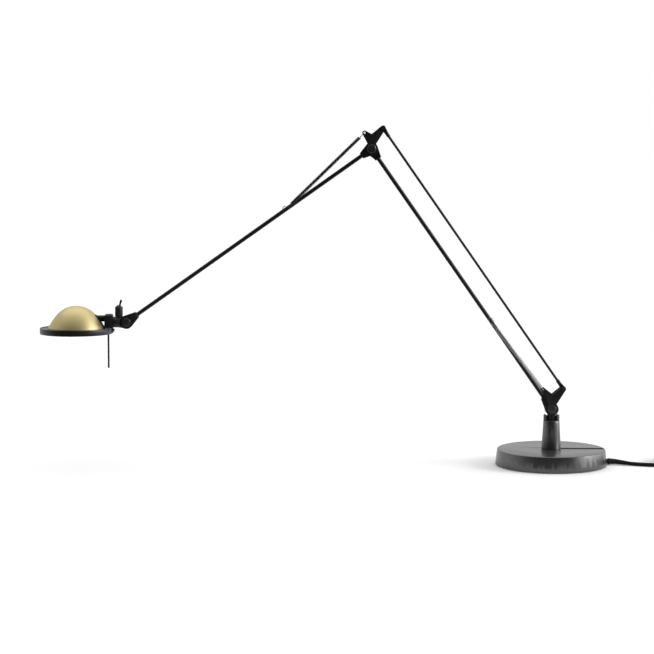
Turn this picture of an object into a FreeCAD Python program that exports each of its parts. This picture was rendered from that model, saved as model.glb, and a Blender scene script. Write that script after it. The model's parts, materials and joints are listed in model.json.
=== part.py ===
"""A desk lamp with two spring-balanced arms, as a parametric FreeCAD document.

Millimetres and degrees. The origin is the centre of the base's underside, on the table, with +Z up.
The arms lie in the X-Z plane and reach towards -X, and the mains lead leaves the base towards +X.
An angle of an arm, ear or rod is measured in the X-Z plane from +X towards +Z.
"""
import FreeCAD, Part
import math
import os
import Sketcher
from FreeCAD import Placement, Rotation, Vector

doc = FreeCAD.newDocument("desk_lamp")
sheet = doc.addObject("Spreadsheet::Sheet", "sizes")
kept = []  # the finished sub-parts, one per node


# ---------------------------------------------------------------- sizes and expressions

class Value:
    """A number together with the spreadsheet expression that gives it."""

    def __init__(self, text, number):
        self.text = text
        self.number = float(number)

    def __float__(self):
        return self.number

    def __add__(self, other):
        return Value(f"({self.text} + {as_value(other).text})", self.number + float(other))

    def __radd__(self, other):
        return as_value(other) + self

    def __sub__(self, other):
        return Value(f"({self.text} - {as_value(other).text})", self.number - float(other))

    def __rsub__(self, other):
        return as_value(other) - self

    def __mul__(self, other):
        return Value(f"({self.text} * {as_value(other).text})", self.number * float(other))

    def __rmul__(self, other):
        return as_value(other) * self

    def __truediv__(self, other):
        return Value(f"({self.text} / {as_value(other).text})", self.number / float(other))

    def __neg__(self):
        return Value(f"(0 - {self.text})", -self.number)


def as_value(thing):
    return thing if isinstance(thing, Value) else Value(repr(float(thing)), thing)


def cosine(angle):
    return Value(f"cos({as_value(angle).text})", math.cos(math.radians(float(angle))))


def sine(angle):
    return Value(f"sin({as_value(angle).text})", math.sin(math.radians(float(angle))))


def heading(first, second):
    """The direction from one spot to another, in degrees."""
    rise, run = second.z - first.z, second.x - first.x
    return Value(f"(atan2({rise.text}; {run.text}) / 1 deg)",
                 math.degrees(math.atan2(float(rise), float(run))))


def distance(first, second):
    rise, run = second.z - first.z, second.x - first.x
    return Value(f"sqrt({rise.text} * {rise.text} + {run.text} * {run.text})",
                 math.hypot(float(rise), float(run)))


def size(name, number, note):
    """One driving dimension: a row of the sheet with its alias, and the value that refers to it."""
    row = size.rows = getattr(size, "rows", 0) + 1
    sheet.set(f"A{row}", note)
    sheet.set(f"B{row}", repr(number))
    sheet.setAlias(f"B{row}", name)
    return Value(f"sizes.{name}", number)


def bind(thing, name, number):
    number = as_value(number)
    thing.setExpression(name, number.text)


# The base, from the table up.
base_diameter = size("base_diameter", 165, "base, across its lower rim")
base_top_diameter = size("base_top_diameter", 160, "base, across its flat top")
base_height = size("base_height", 24, "table to the base's top")
cover_wall = size("cover_wall", 2, "side wall of the base cover")
cover_top = size("cover_top", 2.6, "thickness of the base cover's top")
rim_bevel = size("rim_bevel", 0.8, "bevel round the base's top")
foot_height = size("foot_height", 1.5, "soft ring under the base")
foot_outer = size("foot_outer", 74, "outer radius of the soft ring")
foot_inner = size("foot_inner", 60, "inner radius of the soft ring")
plate_height = size("plate_height", 2, "steel plate that closes the base")
ballast_radius = size("ballast_radius", 73, "radius of the steel ballast")
ballast_height = size("ballast_height", 12, "height of the steel ballast")
ballast_bore = size("ballast_bore", 12, "radius of the hole in the middle of the ballast")
fit_gap = size("fit_gap", 0.3, "clearance round a loose piece")
slide_gap = size("slide_gap", 0.05, "radial clearance of a running or seated fit")
groove_width = size("groove_width", 11.5, "black radial channel in the base's top, width")
groove_start = size("groove_start", 14.5, "channel, from the middle to its inner end")
groove_length = size("groove_length", 63.5, "channel, length")
groove_depth = size("groove_depth", 1.6, "channel, depth")
liner_wall = size("liner_wall", 0.7, "wall of the liner in the channel")
converter_length = size("converter_length", 88, "mains converter, length")
converter_width = size("converter_width", 34, "mains converter, width")
converter_height = size("converter_height", 14, "mains converter, height")
converter_offset = size("converter_offset", 36, "mains converter, from the middle to its axis")
terminal_length = size("terminal_length", 20, "terminal block, length")
terminal_width = size("terminal_width", 12, "terminal block, width")
terminal_height = size("terminal_height", 9, "terminal block, height")
terminal_reach = size("terminal_reach", 50, "terminal block, from the middle to its near end")
plate_screw_circle = size("plate_screw_circle", 62, "radius of the circle of base screws")
plate_screw_radius = size("plate_screw_radius", 1.5, "base screw, thread radius")
plate_screw_length = size("plate_screw_length", 8, "base screw, length over its head")

# The stem and the swivel on it.
stem_foot_radius = size("stem_foot_radius", 14.35, "stem, radius at its foot")
stem_top_radius = size("stem_top_radius", 12, "stem, radius at its top")
stem_height = size("stem_height", 42.4, "stem, above the base's top")
tail_radius = size("tail_radius", 6.8, "threaded tail under the stem, radius")
tail_length = size("tail_length", 7.5, "threaded tail under the stem, length")
tail_bore = size("tail_bore", 5.4, "wire bore through the tail, radius")
stem_bore = size("stem_bore", 8.3, "bore of the stem, radius")
stem_bore_depth = size("stem_bore_depth", 31, "bore of the stem, depth")
nut_radius = size("nut_radius", 11, "stem nut, radius")
nut_height = size("nut_height", 3.6, "stem nut, height")
bush_length = size("bush_length", 20, "swivel bush, length inside the stem")
flange_height = size("flange_height", 1.2, "swivel bush, flange on the stem")
collar_radius = size("collar_radius", 11.75, "swivel bush, radius of its two lugs")
collar_wall = size("collar_wall", 3.15, "swivel bush, thickness of its lugs")
collar_height = size("collar_height", 8.6, "swivel bush, lugs above the stem")
collar_opening = size("collar_opening", 15.8, "swivel bush, opening between the lugs")
spindle_radius = size("spindle_radius", 5, "spindle of the yoke, radius")
spindle_end = size("spindle_end", 4.4, "spindle, length below the bush")
clip_height = size("clip_height", 1.2, "retaining clip, thickness")
clip_radius = size("clip_radius", 7.4, "retaining clip, outer radius")
clip_groove = size("clip_groove", 4.2, "retaining clip, radius of its groove")
post_radius = size("post_radius", 7.65, "post of the yoke, radius")
pivot_height = size("pivot_height", 84, "table to the lower arm's pivot")
yoke_floor = size("yoke_floor", 10, "lower arm's pivot to the floor of the yoke's slot")

# Plates, pins and washers of the three arm pivots.
cheek_inner = size("cheek_inner", 5, "middle plane to the inside of an ear plate")
cheek_thickness = size("cheek_thickness", 2.4, "thickness of an ear plate")
pin_radius = size("pin_radius", 2.5, "main pivot pins, radius")
cap_radius = size("cap_radius", 6.3, "caps of the main pivots, radius")
cap_height = size("cap_height", 2, "caps of the main pivots, height")
cap_bevel = size("cap_bevel", 0.6, "bevel of a cap")
washer_radius = size("washer_radius", 8, "friction washers, radius")
washer_gap = size("washer_gap", 0.05, "play beside a friction washer")
yoke_hub = size("yoke_hub", 9.8, "yoke, radius round the pivot")
yoke_ear_reach = size("yoke_ear_reach", 31, "yoke, pivot to the spring's hole")
yoke_ear_angle = size("yoke_ear_angle", 114.5, "yoke, direction of the spring's hole")
link_hub = size("link_hub", 6.7, "elbow plates, radius round the pivot")
link_ear_reach = size("link_ear_reach", 25.5, "elbow plates, pivot to the spring's hole")
link_ear_angle = size("link_ear_angle", 114, "elbow plates, direction of the spring's hole")
ear_tip = size("ear_tip", 3.3, "radius of the ear round a spring's hole")
hook_hole = size("hook_hole", 1.6, "radius of a spring's hole")
tie_reach = size("tie_reach", 34.5, "pivot to the tie rod's pin")
tie_angle = size("tie_angle", 61, "direction of the tie rod's pin")
tie_tip = size("tie_tip", 3.8, "radius of the ear round the tie rod's pin")
leg_root = size("leg_root", 1.8, "legs of the ear plates, radius at the pivot")
neck_root = size("neck_root", 5.2, "neck of the ear plates, radius at the pivot")
web_reach = size("web_reach", 16, "pivot to the end of the web between the ears")
web_tip = size("web_tip", 4.6, "radius of that web's end")
tie_pin_radius = size("tie_pin_radius", 1.5, "tie rod's pin, radius")
tie_pin_shoulder = size("tie_pin_shoulder", 2.6, "tie rod's pin, radius of its shoulders")
tie_pin_head = size("tie_pin_head", 2.8, "tie rod's pin, radius of its heads")
tie_head_height = size("tie_head_height", 1, "tie rod's pin, height of its heads")

# Arms.
lower_length = size("lower_length", 468, "lower arm, pivot to pivot")
lower_angle = size("lower_angle", 124.9, "lower arm, direction from the base")
upper_length = size("upper_length", 442, "upper arm, pivot to pivot")
upper_angle = size("upper_angle", 215.2, "upper arm, direction from the elbow")
tube_radius = size("tube_radius", 3, "arm tubes, radius")
tube_wall = size("tube_wall", 0.8, "arm tubes, wall")
knuckle_radius = size("knuckle_radius", 9.5, "arm fittings, radius round the pivot")
neck_half = size("neck_half", 4.6, "arm fittings, half width of the neck")
fitting_half = size("fitting_half", 4.2, "arm fittings, half thickness")
base_neck = size("base_neck", 21, "fitting at the base, length")
elbow_neck = size("elbow_neck", 18, "fittings at the elbow, length")
wrist_neck = size("wrist_neck", 19.4, "fitting at the wrist, length")
elbow_root = size("elbow_root", 15.3, "fittings at the elbow, pivot to their solid ends")
spigot_length = size("spigot_length", 9, "spigots of the arm fittings inside the tubes")
tongue_half = size("tongue_half", 2.1, "tongue in the elbow's fork, half thickness")
fork_gap = size("fork_gap", 0.3, "play of a tongue in its fork")
sweep_gap = size("sweep_gap", 0.6, "clearance round a knuckle that turns")
wrist_root = size("wrist_root", 11.3, "fork at the wrist, pivot to its solid end")
wrist_half = size("wrist_half", 6, "fork at the wrist, half thickness")
wrist_slot = size("wrist_slot", 3.2, "fork at the wrist, half width of its slot")
head_tongue_half = size("head_tongue_half", 2.45, "tongue of the head, half thickness")
rod_radius = size("rod_radius", 1.9, "tie rod, radius")
rod_end_radius = size("rod_end_radius", 2.7, "tie rod's ends, radius of the sleeve")
rod_end_length = size("rod_end_length", 15, "tie rod's ends, eye to the end of the sleeve")
rod_eye_radius = size("rod_eye_radius", 3.6, "tie rod's ends, radius of the eye")
rod_eye_half = size("rod_eye_half", 2, "tie rod's ends, half thickness of the eye")
rod_eye_gap = size("rod_eye_gap", 0.1, "tie rod's ends, play round and beside the pin")

# Springs.
spring_plane = size("spring_plane", 6.2, "springs, in front of the middle plane")
spring_radius = size("spring_radius", 2.25, "springs, mean radius of the coils")
spring_wire = size("spring_wire", 0.5, "springs, radius of the wire")
lower_stud_reach = size("lower_stud_reach", 157.7, "lower spring's stud, from the base pivot")
upper_stud_reach = size("upper_stud_reach", 154, "upper spring's stud, from the elbow")
stud_radius = size("stud_radius", 1.2, "spring studs, radius")
stud_length = size("stud_length", 5.4, "spring studs, beyond the tube")
lower_turns = size("lower_turns", 45, "lower spring, turns")
upper_turns = size("upper_turns", 54, "upper spring, turns")
lower_coil_start = size("lower_coil_start", 5.6, "lower spring, hook's hole to the first turn")
upper_coil_start = size("upper_coil_start", 10, "upper spring, hook's hole to the first turn")
coil_stop = size("coil_stop", 12, "last turn of a spring to its stud")
lower_loop_radius = size("lower_loop_radius", 3.35, "lower spring's loop, mean radius of its ends")
lower_loop_straight = size("lower_loop_straight", 2.6, "lower spring's loop, length of its sides")
lower_loop_along = size("lower_loop_along", 2.31, "lower loop's middle, beyond its stud")
lower_loop_across = size("lower_loop_across", 0.67, "lower loop's middle, above its stud")
upper_loop_radius = size("upper_loop_radius", 3.6, "upper spring's loop, mean radius of its ends")
upper_loop_straight = size("upper_loop_straight", 0.6, "upper spring's loop, length of its sides")
upper_loop_along = size("upper_loop_along", -0.5, "upper loop's middle, beyond its stud")
upper_loop_across = size("upper_loop_across", 1.43, "upper loop's middle, above its stud")

# The head. Places are given from the wrist pivot.
body_radius = size("body_radius", 8, "head body, radius")
wrist_limit = size("wrist_limit", 40, "head's greatest tilt towards the arm, in degrees")
body_start = size("body_start", 19.9, "wrist to the far end of the head body")
head_hub = size("head_hub", 9.4, "tongue of the head, radius round the wrist")
switch_offset = size("switch_offset", 11.2, "wrist to the switch's axis")
housing_radius = size("housing_radius", 5.8, "switch housing, radius")
housing_bottom = size("housing_bottom", 8.6, "switch housing, lower edge above the wrist")
housing_top = size("housing_top", 22.8, "switch housing, top above the wrist")
housing_neck = size("housing_neck", 4.5, "neck under the switch housing, radius")
switch_radius = size("switch_radius", 4.4, "switch body, radius")
switch_depth = size("switch_depth", 12, "switch body, depth in its housing")
switch_cone = size("switch_cone", 2.2, "switch body, height of the cone on top")
switch_cone_radius = size("switch_cone_radius", 2.9, "switch body, top radius of the cone")
lever_pivot = size("lever_pivot", 20.4, "lever's pivot above the wrist")
lever_length = size("lever_length", 13.4, "lever, length")
lever_lean = size("lever_lean", 16, "lever, lean towards +X when off")
lever_thin = size("lever_thin", 1.1, "lever, radius at its pivot")
lever_thick = size("lever_thick", 1.75, "lever, radius at its tip")
lever_pin_half = size("lever_pin_half", 2.6, "lever's pivot pin, half length")
lever_slot = size("lever_slot", 3.2, "lever's slot, half length")
lever_slot_half = size("lever_slot_half", 1.7, "lever's slot, half width")
shaft_radius = size("shaft_radius", 4, "roll shaft, radius")
shaft_length = size("shaft_length", 7.5, "roll shaft, length in the head body")
shaft_seat = size("shaft_seat", 5, "roll shaft, length in the holder block")
block_gap = size("block_gap", 0.3, "holder block to the head body")
block_length = size("block_length", 12, "holder block, along the head")
block_width = size("block_width", 15, "holder block, across the head")
block_above = size("block_above", 11.9, "holder block, top above the wrist")
block_bevel = size("block_bevel", 2, "holder block, bevel of its upper edges")
lamp_rise = size("lamp_rise", 5.4, "lamp tube's axis above the wrist")
lamp_tube_radius = size("lamp_tube_radius", 4.7, "lamp tube, radius")
lamp_tube_wall = size("lamp_tube_wall", 0.7, "lamp tube, wall")
lamp_tube_seat = size("lamp_tube_seat", 4, "lamp tube, length in the holder block")

# The reflector, about its own upright axis.
dome_reach = size("dome_reach", 74.5, "wrist to the dome's axis")
rim_drop = size("rim_drop", 8.4, "dome's rim below the wrist")
rim_radius = size("rim_radius", 41.3, "dome, radius at the rim")
dome_height = size("dome_height", 32.4, "dome, rim to apex")
shoulder_radius = size("shoulder_radius", 28.7, "dome, radius at its shoulder")
shoulder_height = size("shoulder_height", 19, "dome, rim to its shoulder")
dome_wall = size("dome_wall", 0.8, "dome, wall")
liner_gap = size("liner_gap", 0.5, "dome to the bright inner reflector")
reflector_wall = size("reflector_wall", 0.5, "inner reflector, wall")
ring_outer = size("ring_outer", 53.4, "shade ring, outer radius")
ring_inner = size("ring_inner", 38.6, "shade ring, inner radius")
ring_height = size("ring_height", 8.4, "shade ring, height")
ring_skin = size("ring_skin", 2, "shade ring, thickness")
ring_recess = size("ring_recess", 1, "shade ring, outer edge above its flat")
ring_lip = size("ring_lip", 4, "shade ring, drop of its inner lip")
strap_width = size("strap_width", 22, "strap over the dome's flank, in degrees round the dome")
strap_gap = size("strap_gap", 0.2, "dome to the strap")
strap_wall = size("strap_wall", 0.7, "strap, thickness")
tab_thickness = size("tab_thickness", 0.8, "tab under the holder block, thickness")
tab_width = size("tab_width", 10, "tab under the holder block, width")
ring_screw_drop = size("ring_screw_drop", 12.2, "ring screw's axis below the wrist")
ring_screw_head = size("ring_screw_head", 2.7, "ring screw, radius of its head")
ring_screw_head_height = size("ring_screw_head_height", 2.4, "ring screw, height of its head")
ring_screw_radius = size("ring_screw_radius", 1.5, "ring screw, thread radius")
ring_screw_length = size("ring_screw_length", 3.6, "ring screw, length under its head")
handle_radius = size("handle_radius", 1.4, "handle rod, radius")
handle_length = size("handle_length", 57, "handle rod, length")
handle_reach = size("handle_reach", 47.4, "handle rod, from the dome's axis")
holder_radius = size("holder_radius", 6.5, "lamp holder, radius")
holder_length = size("holder_length", 12, "lamp holder, length")
holder_reach = size("holder_reach", 23.5, "lamp holder's near end, from the dome's axis")
bulb_radius = size("bulb_radius", 5.4, "bulb capsule, radius")
bulb_length = size("bulb_length", 24, "bulb capsule, length")
bulb_gap = size("bulb_gap", 3, "lamp holder to the bulb's glass")
bulb_pin_radius = size("bulb_pin_radius", 0.5, "bulb pins, radius")
bulb_pin_spacing = size("bulb_pin_spacing", 6.35, "bulb pins, spacing")
bulb_pin_depth = size("bulb_pin_depth", 6, "bulb pins, depth in the holder")

# The mains lead and its plug.
cord_radius = size("cord_radius", 2.8, "mains lead, radius")
cord_rest = size("cord_rest", 2.85, "mains lead, centre above the table")
cord_exit_height = size("cord_exit_height", 5.2, "mains lead, centre where it leaves the base")
gland_reach = size("gland_reach", 84, "outer face of the gland, from the middle")
gland_radius = size("gland_radius", 3.6, "gland, radius through the cover")
gland_flange = size("gland_flange", 5, "gland, radius of the flange inside")
gland_length = size("gland_length", 9, "gland, length")
coil_mean = size("coil_mean", 33.6, "coil of spare lead, mean radius of its turns")
coil_spacing = size("coil_spacing", 6.15, "coil of spare lead, step between turns and layers")
coil_layer_turns = size("coil_layer_turns", 3.5, "coil of spare lead, turns in each layer")
coil_centre_x = size("coil_centre_x", 206, "coil of spare lead, centre along X")
coil_centre_y = size("coil_centre_y", 21.6, "coil of spare lead, centre along Y")
plug_reach = size("plug_reach", 20, "straight lead from the last turn to the plug")
plug_length = size("plug_length", 36, "plug body, length")
plug_width = size("plug_width", 26, "plug body, width")
plug_height = size("plug_height", 14, "plug body, height")
plug_nose = size("plug_nose", 9, "plug body, half width at the lead's end")
plug_pin_radius = size("plug_pin_radius", 2, "plug pins, radius")
plug_pin_length = size("plug_pin_length", 19, "plug pins, length")
plug_pin_spacing = size("plug_pin_spacing", 19, "plug pins, spacing")

doc.recompute()


# ---------------------------------------------------------------- builders

UP = Vector(0, 0, 1)
ALONG_X = (Vector(0, 1, 0), 90)       # turns a piece's own Z to +X
ALONG_Y = (Vector(1, 0, 0), -90)      # turns a piece's own Z to +Y


class Spot:
    """A place in the X-Z plane with a direction, such as a pivot and the arm that leaves it."""

    def __init__(self, x, z, angle=0):
        self.x = as_value(x)
        self.z = as_value(z)
        self.angle = as_value(angle)

    def ahead(self, along, across=0, turn=0):
        """The spot that lies this far along the direction and to its left, turned by turn."""
        x = self.x + along * cosine(self.angle) - across * sine(self.angle)
        z = self.z + along * sine(self.angle) + across * cosine(self.angle)
        return Spot(x, z, self.angle + turn)

    def facing(self, angle):
        return Spot(self.x, self.z, angle)


def place(piece, x=0, y=0, z=0, turn=None):
    """Bind a piece's place, and its turn (an axis and an angle) where it has one."""
    axis, angle = turn or (UP, 0)
    piece.Placement = Placement(Vector(float(x), float(y), float(z)), Rotation(axis, float(angle)))
    for name, number in (("x", x), ("y", y), ("z", z)):
        bind(piece, f"Placement.Base.{name}", number)
    if isinstance(angle, Value):
        bind(piece, "Placement.Rotation.Angle", angle)
    return piece


def box(name, length, width, height, x, y, z):
    piece = doc.addObject("Part::Box", name)
    for side, number in (("Length", length), ("Width", width), ("Height", height)):
        bind(piece, side, number)
    return place(piece, x, y, z)


def cylinder(name, radius, height, x=0, y=0, z=0, turn=None):
    piece = doc.addObject("Part::Cylinder", name)
    bind(piece, "Radius", radius)
    bind(piece, "Height", height)
    return place(piece, x, y, z, turn)


def across(name, spot, radius, low, high):
    """A cylinder along Y through a spot."""
    return cylinder(name, radius, as_value(high) - low, spot.x, low, spot.z, ALONG_Y)


def along(name, spot, radius, length, start=0):
    """A cylinder along a spot's direction."""
    first = spot.ahead(start)
    return cylinder(name, radius, length, first.x, 0, first.z, (Vector(0, 1, 0), 90 - spot.angle))


def boolean(kind, name, first, second):
    piece = doc.addObject(kind, name)
    piece.Base = first
    piece.Tool = second
    return piece


def cut(name, first, *tools):
    for number, tool in enumerate(tools):
        first = boolean("Part::Cut", f"{name}_cut_{number}", first, tool)
    return first


def fuse(name, *pieces):
    piece = doc.addObject("Part::MultiFuse", f"{name}_fuse")
    piece.Shapes = list(pieces)
    piece.Refine = True
    return piece


def group(name, *pieces):
    piece = doc.addObject("Part::Compound", f"{name}_group")
    piece.Links = list(pieces)
    return piece


def keep(name, piece):
    """Give a finished sub-part the label that names its file."""
    piece.Label = name
    kept.append(piece)
    return piece


def new_sketch(name, plane):
    """A body with an empty sketch on one of its own origin planes."""
    body = doc.addObject("PartDesign::Body", f"{name}_body")
    sketch = body.newObject("Sketcher::SketchObject", f"{name}_sketch")
    origin_plane = [item for item in body.Origin.OriginFeatures if item.Role == plane][0]
    sketch.AttachmentSupport = [(origin_plane, "")]
    sketch.MapMode = "FlatFace"
    return body, sketch


def dimension(sketch, kind, geometry, point, number):
    """A distance of a point from the sketch's origin, bound to the sheet, or held at zero."""
    if isinstance(number, (int, float)) and number == 0:
        axis = -2 if kind == "DistanceX" else -1
        sketch.addConstraint(Sketcher.Constraint("PointOnObject", geometry, point, axis))
        return
    constraint = Sketcher.Constraint(kind, -1, 1, geometry, point, float(number))
    index = sketch.addConstraint(constraint)
    sketch.setExpression(f"Constraints[{index}]", as_value(number).text)


def radius_of(sketch, geometry, number):
    index = sketch.addConstraint(Sketcher.Constraint("Radius", geometry, float(number)))
    sketch.setExpression(f"Constraints[{index}]", as_value(number).text)


def arc_between(start, end, radius):
    """The shorter arc from start to end. A positive radius bulges to the left of the way."""
    chord = end - start
    rise = abs(radius) - math.sqrt(radius * radius - chord.Length * chord.Length / 4)
    left = Vector(-chord.y, chord.x, 0).normalize()
    middle = start + chord * 0.5 + left * math.copysign(rise, radius)
    return Part.Arc(start, middle, end)


def turned(name, profile, x=0, y=0, z=0, turn=None, sweep=360):
    """A body turned about its own Z from a closed profile of (radius, height) points.

    A third value in a point makes the way to the next point an arc of that radius. It is positive
    where the arc bulges to the left of the way.
    """
    body, sketch = new_sketch(name, "XZ_Plane")
    points = [Vector(float(point[0]), float(point[1]), 0) for point in profile]
    count = len(profile)
    for index, point in enumerate(profile):
        start = points[index]
        end = points[(index + 1) % count]
        curved = len(point) == 3
        sketch.addGeometry(arc_between(start, end, float(point[2])) if curved
                           else Part.LineSegment(start, end))
    ends = []
    for index, point in enumerate(profile):
        forward = (sketch.getPoint(index, 1) - points[index]).Length < 1e-6
        ends.append((1, 2) if forward else (2, 1))
    for index, point in enumerate(profile):
        following = (index + 1) % count
        sketch.addConstraint(Sketcher.Constraint("Coincident", index, ends[index][1],
                                                 following, ends[following][0]))
        dimension(sketch, "DistanceX", index, ends[index][0], point[0])
        dimension(sketch, "DistanceY", index, ends[index][0], point[1])
        if len(point) == 3:
            size_of_arc = point[2] if float(point[2]) > 0 else -as_value(point[2])
            radius_of(sketch, index, size_of_arc)
    revolution = body.newObject("PartDesign::Revolution", f"{name}_revolution")
    revolution.Profile = sketch
    revolution.ReferenceAxis = (sketch, ["V_Axis"])
    bind(revolution, "Angle", sweep)
    revolution.Midplane = isinstance(sweep, Value)
    sketch.Visibility = False
    return place(body, x, y, z, turn)


def padded(name, body, sketch, spot, low, high):
    """Pad a sketch of the X-Z plane from y = low to y = high, with its origin at a spot."""
    pad = body.newObject("PartDesign::Pad", f"{name}_pad")
    pad.Profile = sketch
    bind(pad, "Length", as_value(high) - low)
    return place(body, spot.x, high, spot.z, (Vector(0, -1, 0), spot.angle))


def tangent(sketch, first, first_end, second, second_end):
    sketch.addConstraint(Sketcher.Constraint("Tangent", first, first_end, second, second_end))


def link(name, spot, hub, tip, reach, low, high):
    """A plate round two circles and the tangents between them, from a spot along its direction."""
    body, sketch = new_sketch(name, "XZ_Plane")
    big, small, distance = float(hub), float(tip), float(reach)
    lean = math.acos((big - small) / distance)
    centre = Vector(distance, 0, 0)
    rim = Part.Circle(Vector(), UP, big)
    nose = Part.Circle(centre, UP, small)
    sketch.addGeometry(Part.ArcOfCircle(rim, lean, 2 * math.pi - lean))
    sketch.addGeometry(Part.ArcOfCircle(nose, -lean, lean))
    for side in (lean, -lean):
        outward = Vector(math.cos(side), math.sin(side), 0)
        ends = [outward * big, centre + outward * small]
        sketch.addGeometry(Part.LineSegment(*(ends if side > 0 else ends[::-1])))
    sketch.addConstraint(Sketcher.Constraint("Coincident", 0, 3, -1, 1))
    sketch.addConstraint(Sketcher.Constraint("PointOnObject", 1, 3, -1))
    for corner in ((0, 1, 2, 1), (2, 2, 1, 2), (1, 1, 3, 1), (3, 2, 0, 2)):
        tangent(sketch, *corner)
    dimension(sketch, "DistanceX", 1, 3, reach)
    radius_of(sketch, 0, hub)
    radius_of(sketch, 1, tip)
    return padded(name, body, sketch, spot, low, high)


def teardrop(name, spot, hub, half, reach, low, high):
    """A plate round one circle that narrows to a square end, such as an arm's fitting."""
    body, sketch = new_sketch(name, "XZ_Plane")
    radius, end_half, distance = float(hub), float(half), float(reach)
    slant = math.hypot(distance, end_half)
    touch = math.atan2(end_half, distance) + math.acos(radius / slant)
    upper = Vector(math.cos(touch), math.sin(touch), 0) * radius
    lower = Vector(upper.x, -upper.y, 0)
    corner = Vector(distance, end_half, 0)
    under = Vector(distance, -end_half, 0)
    sketch.addGeometry(Part.ArcOfCircle(Part.Circle(Vector(), UP, radius), touch, 2 * math.pi - touch))
    for start, end in ((upper, corner), (corner, under), (under, lower)):
        sketch.addGeometry(Part.LineSegment(start, end))
    sketch.addConstraint(Sketcher.Constraint("Coincident", 0, 3, -1, 1))
    tangent(sketch, 0, 1, 1, 1)
    tangent(sketch, 3, 2, 0, 2)
    for first, second in ((1, 2), (2, 3)):
        sketch.addConstraint(Sketcher.Constraint("Coincident", first, 2, second, 1))
    sketch.addConstraint(Sketcher.Constraint("Symmetric", 2, 1, 2, 2, -1))
    dimension(sketch, "DistanceX", 2, 1, reach)
    dimension(sketch, "DistanceY", 2, 1, half)
    radius_of(sketch, 0, hub)
    return padded(name, body, sketch, spot, low, high)


def tube_profile(outer, inner, length):
    return [(inner, 0), (outer, 0), (outer, length), (inner, length)]


def cap(name, spot, radius, seat, height, side):
    """A bevelled cap on one end of a pin: side 1 is behind the middle plane and -1 in front."""
    profile = [(0, 0), (radius, 0), (radius, height - cap_bevel), (radius - cap_bevel, height),
               (0, height)]
    turn = (Vector(1, 0, 0), -90 * side)
    return turned(name, profile, spot.x, side * seat, spot.z, turn)


def pair_of_caps(name, spot, radius, seat, height):
    return keep(name, group(name, cap(f"{name}_rear", spot, radius, seat, height, 1),
                            cap(f"{name}_front", spot, radius, seat, height, -1)))


def pair_of_washers(name, spot, low, high):
    """Friction washers on both sides of the middle plane, with the pin's hole."""
    thickness = high - low - 2 * washer_gap
    profile = tube_profile(washer_radius, pin_radius + slide_gap, thickness)
    rings = [turned(f"{name}_{index}", profile, spot.x, side * (low + washer_gap), spot.z,
                    (Vector(1, 0, 0), -90 * side)) for index, side in enumerate((1, -1))]
    return keep(name, group(name, *rings))


# ---------------------------------------------------------------- base

stem_top = base_height + stem_height
centre = Spot(0, 0)

cover_profile = [
    (tail_radius + slide_gap, base_height - cover_top - foot_height),
    (base_top_diameter / 2 - cover_wall, base_height - cover_top - foot_height),
    (base_diameter / 2 - cover_wall, 0),
    (base_diameter / 2, 0),
    (base_top_diameter / 2, base_height - foot_height - rim_bevel),
    (base_top_diameter / 2 - rim_bevel, base_height - foot_height),
    (tail_radius + slide_gap, base_height - foot_height)]
groove_box = box("groove_box", groove_length, groove_width, 2 * groove_depth,
                 groove_start, -groove_width / 2, base_height - groove_depth)
gland_hole = cylinder("gland_hole", gland_radius, gland_length, gland_reach - gland_length, 0,
                      cord_exit_height, ALONG_X)
gland_notch = box("gland_notch", gland_length, 2 * gland_radius, cord_exit_height,
                  gland_reach - gland_length, -gland_radius, 0)
keep("base_cover", cut("base_cover", turned("base_cover", cover_profile, z=foot_height),
                       groove_box, gland_hole, gland_notch))

liner = box("liner_outside", groove_length, groove_width, groove_depth,
            groove_start, -groove_width / 2, base_height - groove_depth)
liner_recess = box("liner_recess", groove_length - 2 * liner_wall, groove_width - 2 * liner_wall,
                   groove_depth, groove_start + liner_wall, liner_wall - groove_width / 2,
                   base_height - groove_depth + liner_wall)
keep("groove_liner", cut("groove_liner", liner, liner_recess))

ballast_floor = foot_height + plate_height
converter_pocket = box("converter_pocket", converter_width + 2 * fit_gap,
                       converter_length + 2 * fit_gap, converter_height * 2,
                       -converter_offset - converter_width / 2 - fit_gap,
                       -converter_length / 2 - fit_gap, foot_height)
terminal_pocket = box("terminal_pocket", ballast_radius, terminal_width + 2 * fit_gap,
                      ballast_height * 2, terminal_reach - fit_gap,
                      -terminal_width / 2 - fit_gap, foot_height)


def ring_of(name, radius, height, z):
    """Three upright cylinders on the circle of the base's screws."""
    parts = []
    for index in range(3):
        angle = 60 + 120 * index
        parts.append(cylinder(f"{name}_{index}", radius, height,
                              plate_screw_circle * math.cos(math.radians(angle)),
                              plate_screw_circle * math.sin(math.radians(angle)), z))
    return parts


ballast_blank = turned("ballast_plate", tube_profile(ballast_radius, ballast_bore, ballast_height),
                       z=ballast_floor)
keep("ballast_plate", cut("ballast_plate", ballast_blank, converter_pocket, terminal_pocket,
                          *ring_of("ballast_hole", plate_screw_radius + slide_gap,
                                   plate_screw_length, foot_height)))

keep("converter_case", box("converter_case", converter_width, converter_length, converter_height,
                           -converter_offset - converter_width / 2, -converter_length / 2,
                           ballast_floor))
keep("terminal_block", box("terminal_block", terminal_length, terminal_width, terminal_height,
                           terminal_reach, -terminal_width / 2, ballast_floor))

plate_radius = base_diameter / 2 - cover_wall - 2 * fit_gap
plate_disc = cylinder("plate_disc", plate_radius, plate_height, z=foot_height)
plate_notch = box("plate_notch", base_diameter / 2, 2 * gland_flange, plate_height,
                  gland_reach - gland_length - fit_gap, -gland_flange, foot_height)
keep("base_plate", cut("base_plate", plate_disc, plate_notch,
                       *ring_of("plate_hole", plate_screw_radius + slide_gap, plate_height,
                                foot_height)))

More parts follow.
